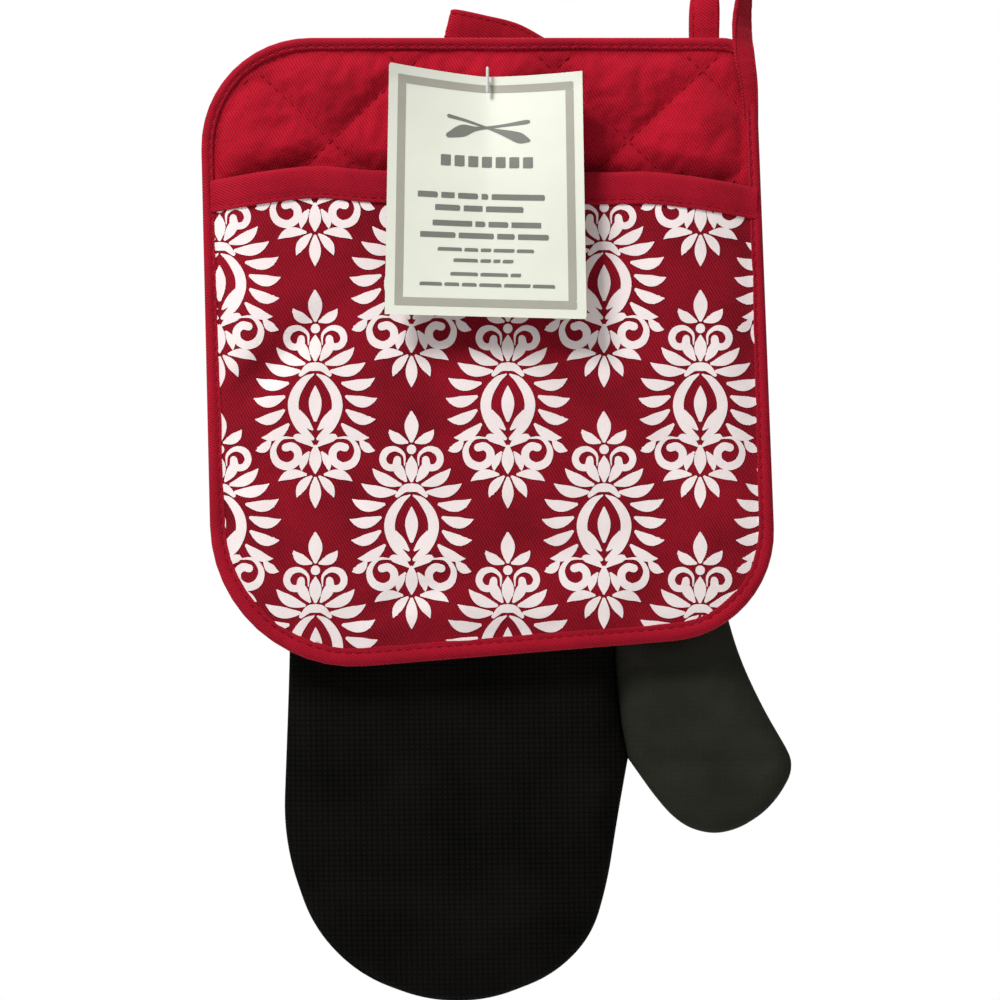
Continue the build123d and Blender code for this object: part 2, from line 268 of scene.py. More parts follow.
RED_LIGHT, RED_DARK = (0.470, 0.006, 0.022), (0.170, 0.002, 0.008)
RED_TWILL = twill("red_twill", RED_LIGHT, RED_DARK)
PRINTED_TWILL = twill("printed_twill", (0.325, 0.0056, 0.018), (0.055, 0.0010, 0.0035))
BINDING_CLOTH = twill(
    "binding_cloth", (0.400, 0.006, 0.022), (0.150, 0.002, 0.008), 0.8, (0.5, 0.2, 0.866), 0.8)
TAPE_CLOTH = twill("tape_cloth", (0.400, 0.006, 0.020), (0.150, 0.002, 0.008), 0.8, (0.6, 0.3, 0.75), 0.8)
THREAD = twill("thread", (0.300, 0.004, 0.015), (0.130, 0.002, 0.007), 0.35, (0.7, 0.3, 0.6), 0.4)
BLACK = (0.0088, 0.0080, 0.0066), (0.0002, 0.0002, 0.0001)
WORN = (0.0325, 0.0330, 0.0246), (0.0060, 0.0060, 0.0044)
PAD_BLACK = neoprene("neoprene_pad", *BLACK, 1.3, 0.8)
PALM = neoprene("neoprene_palm", *BLACK, 1.3, 0.8, WORN)
THUMB = neoprene("neoprene_thumb", *WORN, 0.25, 1.3)
PRINT = ink("print_ink", (0.800, 0.715, 0.705), (0.590, 0.510, 0.500), 0.8)
LINING = plain_cloth("lining_cloth", (0.60, 0.58, 0.53), (0.42, 0.40, 0.36), 0.9)
CARD = smooth_stock("card_stock", (0.660, 0.675, 0.580), (0.600, 0.620, 0.530), 0.32, 0.35, 0.5, 0.02)
CARD_INK = smooth_stock("card_ink", (0.340, 0.330, 0.275), (0.280, 0.272, 0.228), 0.45, 0.1, 0.5, 0.02)
CARD_DARK = smooth_stock("card_dark_ink", (0.170, 0.170, 0.150), (0.120, 0.120, 0.105), 0.45, 0.1, 0.5, 0.02)
NYLON = smooth_stock("nylon", (0.560, 0.560, 0.540), (0.460, 0.460, 0.440), 0.3, 0.4, 0.3, 0.01)
FLOOR = smooth_stock("floor", (0.86, 0.86, 0.86), (0.82, 0.82, 0.82), 0.8, 0.0, 3.0, 0.02)


# ---------------------------------------------------------------- mesh tools

def make_piece(name, points, faces, materials, face_materials=None, sharp=50.0, normals=None):
    """A mesh object from points in millimetres, which also keep their rest place for the patterns."""
    mesh = bpy.data.meshes.new(name)
    points = np.asarray(points, float)
    mesh.from_pydata((points * MM).tolist(), [], [tuple(f) for f in faces])
    rest = mesh.attributes.new("rest", "FLOAT_VECTOR", "POINT")
    rest.data.foreach_set("vector", points.astype(np.float32).ravel())
    for one in materials:
        mesh.materials.append(one)
    if face_materials is not None:
        mesh.polygons.foreach_set("material_index", face_materials)
    mesh.polygons.foreach_set("use_smooth", [True] * len(mesh.polygons))
    mesh.validate()
    mesh.set_sharp_from_angle(angle=math.radians(sharp))
    if normals is not None:
        mesh.normals_split_custom_set_from_vertices(normals.tolist())
    made = bpy.data.objects.new(name, mesh)
    bpy.context.scene.collection.objects.link(made)
    return made


def run_of(path):
    """The distance run along an open path at each of its points."""
    return np.concatenate([[0], np.cumsum(np.linalg.norm(np.diff(path, axis=0), axis=1))])


def places_at(path, run, want):
    """The places on a path after the wanted distances."""
    return np.column_stack([np.interp(want, run, path[:, k]) for k in range(path.shape[1])])


def rounded_outline(corners, radii, step):
    """Points about step apart along a polygon with arcs for corners, anticlockwise seen from the front."""
    count, path = len(corners), []
    for i in range(count):
        here = Vector(corners[i])
        back = (Vector(corners[i - 1]) - here).normalized()
        ahead = (Vector(corners[(i + 1) % count]) - here).normalized()
        half = back.angle(ahead) / 2
        centre = here + (back + ahead).normalized() * (radii[i] / math.sin(half))
        start = here + back * (radii[i] / math.tan(half)) - centre
        end = here + ahead * (radii[i] / math.tan(half)) - centre
        turn = start.angle_signed(end)
        for k in range(13):
            a = -turn * k / 12
            path.append(centre + Vector((
                start.x * math.cos(a) - start.y * math.sin(a),
                start.x * math.sin(a) + start.y * math.cos(a),
            )))
    return even_loop(np.array([tuple(p) for p in path]), step)


def even_loop(path, step):
    """A closed path sampled again at even steps, anticlockwise."""
    x, z = path.T
    if np.sum(x * np.roll(z, -1) - np.roll(x, -1) * z) < 0:
        path = path[::-1]
    closed = np.vstack([path, path[:1]])
    run = run_of(closed)
    count = max(8, int(run[-1] / step))
    return places_at(closed, run, np.arange(count) * run[-1] / count)


def outward(loop):
    """Unit normals that point out of an anticlockwise loop."""
    along = np.roll(loop, -1, axis=0) - np.roll(loop, 1, axis=0)
    along /= np.linalg.norm(along, axis=1)[:, None]
    return np.column_stack([along[:, 1], -along[:, 0]])


def smooth_curve(points, per_span):
    """An open Catmull-Rom curve through points of any dimension."""
    p = np.asarray(points, float)
    p = np.vstack([2 * p[0] - p[1], p, 2 * p[-1] - p[-2]])
    out = []
    for i in range(1, len(p) - 2):
        for k in range(per_span):
            t = k / per_span
            out.append(0.5 * (
                2 * p[i] + (p[i + 1] - p[i - 1]) * t
                + (2 * p[i - 1] - 5 * p[i] + 4 * p[i + 1] - p[i + 2]) * t * t
                + (3 * p[i] - p[i - 1] - 3 * p[i + 1] + p[i + 2]) * t ** 3
            ))
    out.append(p[-2])
    return np.array(out)


def inside(loop, x, z):
    """True for each point that lies in the loop."""
    found = np.zeros(len(x), bool)
    ax, az = loop.T
    bx, bz = np.roll(ax, -1), np.roll(az, -1)
    for i in range(len(loop)):
        if az[i] != bz[i]:
            cross = (az[i] > z) != (bz[i] > z)
            found ^= cross & (x < ax[i] + (z - az[i]) * (bx[i] - ax[i]) / (bz[i] - az[i]))
    return found


def distance(path, x, z, closed=True):
    """Distance of each point from a path."""
    best = np.full(len(x), 1e9)
    last = len(path) if closed else len(path) - 1
    for i in range(last):
        a, b = path[i], path[(i + 1) % len(path)]
        d = b - a
        t = np.clip(((x - a[0]) * d[0] + (z - a[1]) * d[1]) / max(d @ d, 1e-12), 0, 1)
        best = np.minimum(best, (x - a[0] - t * d[0]) ** 2 + (z - a[1] - t * d[1]) ** 2)
    return np.sqrt(best)


def pulled_in(loop, points):
    """Copies of points, with those outside the loop moved to the nearest place on it."""
    points = points.copy()
    out = ~inside(loop, *points.T)
    away = points[out]
    best, found = np.full(len(away), 1e9), away.copy()
    for a, b in zip(loop, np.roll(loop, -1, axis=0)):
        t = np.clip((away - a) @ (b - a) / max((b - a) @ (b - a), 1e-12), 0, 1)
        place = a + t[:, None] * (b - a)
        gap = np.sum((away - place) ** 2, axis=1)
        nearer = gap < best
        best[nearer], found[nearer] = gap[nearer], place[nearer]
    points[out] = found
    return points


def grid_in(loop, spacing, margin, high=1e9, low=-1e9):
    """Points of a triangular grid inside a loop, at least margin from it."""
    rows = np.arange(loop[:, 1].min(), loop[:, 1].max(), spacing * 0.866)
    cells = [
        (x + spacing * 0.5 * (r % 2), z)
        for r, z in enumerate(rows) if low < z < high
        for x in np.arange(loop[:, 0].min(), loop[:, 0].max(), spacing)
    ]
    if not cells:
        return np.zeros((0, 2))
    cells = np.array(cells)
    keep = inside(loop, *cells.T)
    cells = cells[keep]
    return cells[distance(loop, *cells.T) > margin]


def triangulate(loop, extra, lines=()):
    """Triangles inside a loop through the extra points, with the given lines kept as edges."""
    points = [Vector(p) for p in loop]
    edges = [(i, (i + 1) % len(loop)) for i in range(len(loop))]
    for line in lines:
        first = len(points)
        points += [Vector(p) for p in line]
        edges += [(first + k, first + k + 1) for k in range(len(line) - 1)]
    points += [Vector(p) for p in extra]
    made = delaunay_2d_cdt(points, edges, [], 1, 1e-5)
    return np.array([tuple(p) for p in made[0]]), np.array(made[2])


def rim_edges(faces):
    """The edges that only one face has, in that face's direction and in the faces' order."""
    seen = {(f[k], f[(k + 1) % len(f)]): True for f in faces for k in range(len(f))}
    return [(a, b) for a, b in seen if (b, a) not in seen]


def used_only(faces):
    """The points that the faces use, and the faces numbered by their place among those."""
    used, where = np.unique(faces, return_inverse=True)
    return used, where.reshape(-1, 3)


def strip_faces(rows, count, closed=True, flip=False):
    """Quads between rows of points, where every row is a ring of count points."""
    faces = []
    for r in range(rows if closed else rows - 1):
        a, b = r * count, (r + 1) % rows * count
        for i in range(count):
            n = (i + 1) % count
            faces.append((a + i, a + n, b + n, b + i) if flip else (a + i, b + i, b + n, a + n))
    return faces


def shell(outer, inner, faces):
    """A closed solid between two copies of one surface, whose faces wind outwards on the outer copy.

    Its own faces are the outer copy's, then the inner copy's, then the rim's."""
    count = len(outer)
    solid = [tuple(f) for f in faces]
    solid += [tuple(v + count for v in reversed(f)) for f in solid]
    rim = [(b, a, a + count, b + count) for a, b in rim_edges(faces)]
    return np.vstack([outer, inner]), solid + rim


def raised(flat, depth):
    """Flat (x, z) points as places at a depth, which is one number or one for each of them."""
    return np.column_stack([flat[:, 0], np.broadcast_to(depth, len(flat)), flat[:, 1]])


def turned_area(flat, faces):
    """Twice the area of each triangle, positive where it is wound anticlockwise."""
    a, b, c = (flat[faces[:, k]] for k in range(3))
    return (b[:, 0] - a[:, 0]) * (c[:, 1] - a[:, 1]) - (b[:, 1] - a[:, 1]) * (c[:, 0] - a[:, 0])


def facing_front(flat, faces):
    """Faces wound so that their normal points to -Y, towards the viewer."""
    return np.where((turned_area(flat, faces) > 0)[:, None], faces, faces[:, ::-1])


def sheet_normals(points, faces):
    """Unit normals of a sheet at its points."""
    a, b, c = (points[faces[:, k]] for k in range(3))
    turn = np.cross(b - a, c - a)
    total = np.zeros_like(points)
    for k in range(3):
        np.add.at(total, faces[:, k], turn)
    return total / np.maximum(np.linalg.norm(total, axis=1), 1e-12)[:, None]


def lumps(x, z, size, seed):
    """Smooth noise from about -1 to 1 with features of about size millimetres."""
    return np.array([noise.noise(Vector((a / size, seed, b / size))) for a, b in zip(x, z)]) * 1.6


def tube(path, radii, sides):
    """A round tube with closed, domed ends along a 3-D path. Returns points and faces."""
    path = np.asarray(path, float)
    points = []
    for i, p in enumerate(path):
        along = path[min(i + 1, len(path) - 1)] - path[max(i - 1, 0)]
        along /= np.linalg.norm(along)
        side = np.cross(along, (0.3, 0.9, 0.31))
        side /= np.linalg.norm(side)
        up = np.cross(along, side)
        for k in range(sides):
            a = 2 * math.pi * k / sides
            points.append(p + radii[i] * (math.cos(a) * side + math.sin(a) * up))
    faces = strip_faces(len(path), sides, closed=False, flip=True)
    faces.append(tuple(reversed(range(sides))))
    faces.append(tuple(range((len(path) - 1) * sides, len(path) * sides)))
    return points, faces


def stitch_run(path, normals, length, gap, radius):
    """Stitches laid along a 3-D path: each a short, slightly bowed length of thread."""
    path, normals = np.asarray(path, float), np.asarray(normals, float)
    run = run_of(path)

    def at(s):
        place = np.array([np.interp(s, run, path[:, k]) for k in range(3)])
        normal = np.array([np.interp(s, run, normals[:, k]) for k in range(3)])
        return place, normal / np.linalg.norm(normal)

    points, faces, start = [], [], gap / 2
    while start + length < run[-1]:
        spine = []
        for t in (0.0, 0.12, 0.35, 0.65, 0.88, 1.0):
            place, normal = at(start + t * length)
            spine.append(place + normal * (radius * (0.9 * math.sin(math.pi * t) - 0.55)))
        radii = [radius * k for k in (0.35, 0.8, 1.0, 1.0, 0.8, 0.35)]
        more, sides = tube(spine, radii, 6)
        base = len(points)
        points += more
        faces += [tuple(v + base for v in f) for f in sides]
        start += length + gap
    return points, faces


def join_runs(runs):
    """Several (points, faces) pairs as one."""
    points, faces = [], []
    for more, sides in runs:
        base = len(points)
        points += list(more)
        faces += [tuple(v + base for v in f) for f in sides]
    return points, faces


def sew(name, runs, body=None):
    """One piece of thread from runs of stitches, which rides on the body if one is given."""
    points, faces = join_runs(runs)
    stitches = make_piece(name, points, faces, [THREAD])
    if body:
        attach(stitches, body)
    return stitches


def settle(points, faces, pinned, pressure, grow, cap, frames=18):
    """Blows a cloth up gently between its pinned points, and returns where it ends, at most cap away."""
    mesh = bpy.data.meshes.new("settling")
    mesh.from_pydata((points * MM).tolist(), [], [tuple(f) for f in faces])
    body = bpy.data.objects.new("settling", mesh)
    bpy.context.scene.collection.objects.link(body)
    pins = body.vertex_groups.new(name="pins")
    pins.add([int(i) for i in np.flatnonzero(pinned)], 1.0, "REPLACE")
    cloth = body.modifiers.new("cloth", "CLOTH")
    cloth.settings.quality = 5
    cloth.settings.vertex_group_mass = "pins"
    cloth.settings.shrink_min = -grow
    cloth.settings.use_pressure = True
    cloth.settings.uniform_pressure_force = pressure
    cloth.settings.effector_weights.gravity = 0.0
    cloth.collision_settings.use_collision = False
    cloth.point_cache.frame_end = frames
    for frame_number in range(1, frames + 1):
        bpy.context.scene.frame_set(frame_number)
    shape = body.evaluated_get(bpy.context.evaluated_depsgraph_get())
    found = np.empty(len(points) * 3, np.float32)
    shape.data.vertices.foreach_get("co", found)
    bpy.data.objects.remove(body)
    bpy.context.scene.frame_set(1)
    move = found.reshape(-1, 3).astype(float) / MM - points
    size = np.linalg.norm(move, axis=1)
    size[size == 0] = 1.0
    return points + move * np.minimum(1.0, cap / size)[:, None]


# Half the section of a stitched tape: share of its half width, and share of its half thickness. It
# dips at SEAM_SHARE, where the stitches lie.
SEAM_SHARE = 0.72
TAPE_SECTION = [(-1.0, 0.0), (-0.97, 0.6), (-0.86, 1.0), (-SEAM_SHARE, 0.7), (-0.55, 1.0), (0.0, 0.92),
                (0.55, 1.0), (SEAM_SHARE, 0.7), (0.86, 1.0), (0.97, 0.6)]


def make_tape(name, stations, thick, look):
    """Tape through stations of centre, direction of its width, and width; and stitches down one edge."""
    line = smooth_curve([(*centre, *across, width) for centre, across, width in stations], 10)
    centre, across, width = line[:, :3], line[:, 3:6], line[:, 6]
    along = np.gradient(centre, axis=0)
    along /= np.linalg.norm(along, axis=1)[:, None]
    across -= along * np.sum(across * along, axis=1)[:, None]
    across /= np.linalg.norm(across, axis=1)[:, None]
    normal = np.cross(along, across)
    section = TAPE_SECTION + [(-u, -t) for u, t in TAPE_SECTION]
    ripple = 0.12 * lumps(np.arange(len(line)) * 1.3, width, 3.0, 17.0)
    points = [
        centre[i] + across[i] * u * width[i] / 2 + normal[i] * (t * thick / 2 + ripple[i] * abs(t))
        for i in range(len(line)) for u, t in section
    ]
    k = len(section)
    faces = strip_faces(len(line), k, closed=False, flip=True)
    faces += [tuple(reversed(range(k))), tuple(range((len(line) - 1) * k, len(line) * k))]
    made = make_piece(name, points, faces, [look])
    runs = []
    for side in (1, -1):
        path = centre + across * (SEAM_SHARE * width / 2)[:, None] + side * normal * 0.36 * thick
        runs.append(stitch_run(path, side * normal, 2.3, 0.7, 0.22))
    return made, sew(name + "_stitches", runs)


# ---------------------------------------------------------------- pot holder

PAD_LOOP = rounded_outline(PAD_CORNERS, PAD_RADII, 1.5)
PAD_NORMALS = outward(PAD_LOOP)


def pad_inset(amount):
    """The pot holder's outline moved inwards, by one amount or by one for each of its points."""
    return PAD_LOOP - PAD_NORMALS * np.reshape(amount, (-1, 1))


def quilt_puff(x, z):
    """How far the quilted cloth stands up between its diamond seams, from 0 to 1."""
    p, q = (x - QUILT_CENTRE[0]) / QUILT_PITCH[0], (z - QUILT_CENTRE[1]) / QUILT_PITCH[1]
    period = QUILT_PITCH[0] * QUILT_PITCH[1] / math.hypot(*QUILT_PITCH)
    puff = np.ones(len(x))
    for turn in (p + q, p - q):
        away = np.abs(turn - np.round(turn)) * period
        puff *= 1 - np.exp(-((away / 4.2) ** 1.15))
    return puff


def panel_front(x, z):
    """Depth of the quilted front panel."""
    pucker = 0.30 * lumps(x, z, 5.5, 3.1) + 0.45 * lumps(x, z, 17.0, 8.7)
    edge = 1 - np.exp(-(distance(pad_inset(5.0)[::3], x, z) / 5.0) ** 1.5)
    above = z - mouth(x)
    free = np.clip((above + 1.0) / 9.0, 0.08, 1.0)
    sunk = 0.9 * edge * np.exp(-((above - 1.5) / 4.0) ** 2)
    return PAD_FRONT - (QUILT_PUFF + pucker) * quilt_puff(x, z) * edge * free + sunk


def make_quilted_panel():
    """The plain twill front, quilted in diamonds, as a closed pad."""
    loop = pad_inset(1.6)
    fine = grid_in(loop, 1.3, 0.9, low=-104.0)
    coarse = grid_in(loop, 5.0, 3.5, high=-105.0)
    flat, faces = triangulate(loop, np.vstack([fine, coarse]))
    faces = facing_front(flat, faces)
    x, z = flat.T
    front = raised(flat, panel_front(x, z))
    held = (quilt_puff(x, z) < 0.08) | (distance(loop, x, z) < 4.0) | (z < mouth(x) - 4.0)
    front = settle(front, faces, held, 1.5, 0.02, 0.8)
    front[:, 0::2] = flat
    made = make_piece("quilted_panel", *shell(front, raised(flat, PAD_BACK - 2.6), faces), [RED_TWILL])
    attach(made, "pot_holder")
    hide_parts("potholder_front_panel", "potholder_batting")


def make_back_panel():
    """The black neoprene back of the pot holder, dented by the same quilting."""
    loop = pad_inset(1.6)
    flat, faces = triangulate(loop, grid_in(loop, 2.6, 1.8))
    faces = facing_front(flat, faces)[:, ::-1]
    x, z = flat.T
    outer = raised(flat, PAD_BACK - 0.5 + 0.8 * quilt_puff(x, z))
    made = make_piece("neoprene_back", *shell(outer, raised(flat, PAD_BACK - 2.5), faces), [PAD_BLACK])
    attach(made, "pot_holder")
    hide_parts("potholder_back_panel")


def binding_width(x, z):
    """How wide the edge binding shows in front: narrow at the top, wider at the bottom."""
    share = np.clip((PAD_TOP - z) / 215.0, 0, 1)
    return 4.3 + 2.4 * share ** 2 + 0.25 * lumps(x, z, 16.0, 21.0)


def make_edge_binding():
    """Bias tape folded round the edge, with its seam dent, bias puckers and topstitching."""
    x, z = PAD_LOOP.T
    wide = binding_width(x, z)
    run = np.arange(len(PAD_LOOP)) * 1.5
    bend = np.abs(np.linalg.norm(np.roll(PAD_NORMALS, -2, axis=0) - np.roll(PAD_NORMALS, 2, axis=0), axis=1))
    pucker = (0.10 + 1.1 * bend) * np.array([noise.noise(Vector((s / 2.6, 4.2, 0))) for s in run])
    # Across the tape: share of its width in from the edge, and how far it stands off the pad's face.
    seam = 0.74
    front = [(1.0, 0.1), (0.97, 1.0), (0.87, 1.2), (seam, 0.85),
             (0.6, 1.35), (0.4, 1.5), (0.2, 1.2), (0.07, 0.45)]
    rows = [(share, -1, stand) for share, stand in front]
    rows.append((0.0, 0, 0.0))
    rows += [(share, 1, stand) for share, stand in reversed(front)]
    points = []
    for share, side, stand in rows:
        place = pad_inset(wide * share)
        thick = stand + pucker * min(1.0, 2.2 * share)
        if side < 0:
            depth = PAD_FRONT + 0.2 - thick
        elif side > 0:
            depth = PAD_BACK - 0.4 + thick
        else:
            depth = (PAD_FRONT + PAD_BACK) / 2
        points.append(raised(place, depth))
    folded_in = pad_inset(wide * 0.9)
    points += [raised(folded_in, depth) for depth in (PAD_BACK - 1.5, PAD_FRONT + 1.5)]
    faces = strip_faces(len(points), len(PAD_LOOP))
    made = make_piece("edge_tape", np.vstack(points), faces, [BINDING_CLOTH])
    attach(made, "pot_holder")
    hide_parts("edge_binding")

    runs = []
    for side, depth in ((-1, PAD_FRONT - 0.72), (1, PAD_BACK + 0.52)):
        path = raised(pad_inset(wide * seam), depth)
        path = np.vstack([path, path[:1]])
        normals = np.tile((0.0, side, 0.0), (len(path), 1))
        runs.append(stitch_run(path, normals, 2.7, 0.8, 0.3))
    sew("edge_stitches", runs, "pot_holder")


def make_quilt_stitches():
    """Dashes of thread along the diamond seams above the pocket."""
    loop, runs = pad_inset(6.0), []
    for slope in (1, -1):
        for k in range(-5, 6):
            t = np.linspace(-4, 4, 1600)
            x = QUILT_CENTRE[0] + QUILT_PITCH[0] * t
            z = QUILT_CENTRE[1] + QUILT_PITCH[1] * (k - slope * t)
            keep = inside(loop, x, z) & (z > mouth(x) - 3.0)
            if keep.sum() < 12:
                continue
            x, z = x[keep], z[keep]
            y = panel_front(x, z) - 0.05
            path = np.column_stack([x, y, z])[::4]
            normals = np.tile((0.0, -1.0, 0.0), (len(path), 1))
            runs.append(stitch_run(path, normals, 2.5, 1.1, 0.27))
    sew("quilt_stitches", runs, "pot_holder")


# ---------------------------------------------------------------- pocket

MOUTH_CURVE = smooth_curve(MOUTH, 12)
FOLDS = [
    # x, z, direction in degrees, length, width, depth of each soft dent
    (-160.0, -153.0, 42.0, 30.0, 6.2, 3.2),
    (-41.0, -168.0, -36.0, 34.0, 6.0, 3.0),
    (-112.0, -232.0, 20.0, 26.0, 6.0, 1.7),
    (-62.0, -214.0, -35.0, 24.0, 6.5, 1.6),
    (-8.0, -128.0, 75.0, 30.0, 7.0, 0.9),
    (-30.0, -235.0, 25.0, 22.0, 6.0, 0.8),
    (-150.0, -205.0, -50.0, 26.0, 8.0, 0.7),
]


def mouth(x):
    """Height of the pocket's mouth."""
    return np.interp(x, *MOUTH_CURVE.T)


def pocket_front(x, z):
    """Depth of the pocket's face: sewn down at its sides, standing off the pad towards its mouth."""
    away = np.maximum(distance(PAD_LOOP[::3], x, z) - binding_width(x, z) + 0.6, 0.0)
    up = np.clip((z + 255.0) / 170.0, 0, 1)
    gap = 2.6 + 1.9 * up ** 2 + 1.4 * np.exp(-((x + 157) / 17.0) ** 2) * up ** 6
    stand = 0.5 + gap * (1 - np.exp(-(away / 8.0) ** 1.6))
    dent = np.zeros(len(x))
    for fx, fz, turn, length, width, depth in FOLDS:
        c, s = math.cos(math.radians(turn)), math.sin(math.radians(turn))
        u, v = (x - fx) * c + (z - fz) * s, -(x - fx) * s + (z - fz) * c
        dent += depth * np.exp(-(u / length) ** 2 - (v / width) ** 2)
    soft = 0.75 * lumps(x, z, 34.0, 5.5) + 0.22 * lumps(x, z, 12.0, 9.1)
    near = 1 - np.exp(-(away / 7.0) ** 2)
    pulls = 0.14 * lumps(x, z, 4.5, 2.2) * np.exp(-away / 9.0)
    return np.minimum(PAD_FRONT - stand + near * (dent - soft) + pulls, PAD_FRONT - 0.45 - 0.5 * near)


def pocket_loop(inset):
    """The pocket's outline: the pot holder's, moved inwards and cut off along the mouth."""
    ring = pad_inset(inset)
    low = ring[ring[:, 1] < mouth(ring[:, 0])]
    start = int(np.argmax(np.linalg.norm(low - np.roll(low, 1, axis=0), axis=1)))
    low = np.roll(low, -start, axis=0)
    xs = np.linspace(low[-1, 0], low[0, 0], 120)[1:-1]
    top = np.column_stack([xs, mouth(xs)])
    return even_loop(np.vstack([low, top]), 1.6)


def make_pocket():
    """The printed pocket panel with its lining behind, open at the top."""
    loop = pocket_loop(2.6)
    flat, faces = triangulate(loop, grid_in(loop, 1.5, 1.0))
    faces = facing_front(flat, faces)
    x, z = flat.T
    front = raised(flat, pocket_front(x, z))
    skin = BVHTree.FromPolygons([Vector(p) for p in front], faces.tolist())
    points, solid = shell(front, front + (0.0, 1.0, 0.0), faces)
    kinds = np.zeros(len(solid), int)
    kinds[len(faces):2 * len(faces)] = 1
    made = make_piece("pocket_cloth", points, solid, [PRINTED_TWILL, LINING], kinds)
    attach(made, "pot_holder")
    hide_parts("pocket_panel", "pocket_lining")
    return skin


def lay_on(skin, flat, side):
    """Flat points laid on a skin seen from one side: the ink's face, and its underside."""
    places, normals = [], []
    for x, z in flat:
        hit, normal = skin.ray_cast(Vector((x, side * 200.0, z)), Vector((0.0, -side, 0.0)))[:2]
        if hit is None:
            hit, normal = skin.find_nearest(Vector((x, side * 10.0, z)))[:2]
        if normal.y * side < 0:
            normal = -normal
        places.append(hit)
        normals.append(normal)
    places, normals = np.array(places), np.array(normals)
    return places + normals * INK_LIFT, places - normals * INK_SINK


def make_pocket_band():
    """The band folded over the pocket's mouth, and its row of stitches."""
    xs = np.arange(-178.6, 11.6, 1.5)
    top = mouth(xs)
    face = pocket_front(xs, top - 2.0)
    rows = [
        # height below the mouth, stand-off in front of the pocket's face
        (-BAND_HEIGHT, 0.1), (-BAND_HEIGHT + 0.25, 0.85), (-BAND_HEIGHT + 1.0, 1.0),
        (-BAND_HEIGHT + 1.7, 0.72), (-BAND_HEIGHT + 2.5, 1.05),
        (-6.0, 1.15), (-3.0, 1.2), (-1.0, 1.1), (0.2, 0.75), (0.75, 0.0),
        (0.8, -0.8), (0.4, -1.5), (-1.5, -1.8), (-5.0, -1.8), (-BAND_HEIGHT, -1.7),
    ]
    wave = 0.18 * np.array([noise.noise(Vector((x / 6.0, 1.7, 0))) for x in xs])
    points = []
    for drop, stand in rows:
        z = top + drop + 0.5 * wave
        depth = pocket_front(xs, np.minimum(z, top)) if stand > 0 else face
        points.append(np.column_stack([xs, depth - stand - wave * (stand > 0.5), z]))
    count, total = len(xs), len(rows)
    points = np.vstack(points)
    faces = []
    for r in range(total):
        a, b = r * count, ((r + 1) % total) * count
        faces += [(a + i, a + i + 1, b + i + 1, b + i) for i in range(count - 1)]
    faces.append(tuple(r * count for r in range(total)))
    faces.append(tuple(r * count + count - 1 for r in reversed(range(total))))
    made = make_piece("mouth_band", points, faces, [BINDING_CLOTH])
    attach(made, "pot_holder")
    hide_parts("pocket_binding")

    z = top - BAND_HEIGHT + 1.7
    path = np.column_stack([xs, pocket_front(xs, z) - 0.72, z])[4:-4]
    normals = np.tile((0.0, -1.0, 0.0), (len(path), 1))
    sew("band_stitches", [stitch_run(path, normals, 2.5, 0.8, 0.28)], "pot_holder")


# ---------------------------------------------------------------- printed ornament

# Every stroke of the ornament is a list of (x, z, width) in millimetres from its centre; wide ends are
# round, and narrow ends are points.

def leaf(x, z, turn, length, width, bow=0.0):
    """A pointed leaf from its foot, turned so many degrees from level and bowed to one side."""
    c, s = math.cos(math.radians(turn)), math.sin(math.radians(turn))
    spine = []
    for t, share in ((0.0, 0.3), (0.2, 0.72), (0.4, 0.97), (0.6, 0.95), (0.8, 0.6), (1.0, 0.06)):
        side = bow * math.sin(math.pi * t * 0.85)
        spine.append((x + c * length * t - s * side, z + s * length * t + c * side, width * share))
    return spine


def scroll(x, z, start, sweep, size, width):
    """A scroll about (x, z) that winds inwards from a thin tail to a round end."""
    spine = []
    for k in range(9):
        t = k / 8
        a, reach = math.radians(start + sweep * t), size * (1 - 0.62 * t ** 1.2)
        spine.append((x + reach * math.cos(a), z + reach * math.sin(a), width * min(1.0, 0.12 + 2.4 * t)))
    return spine


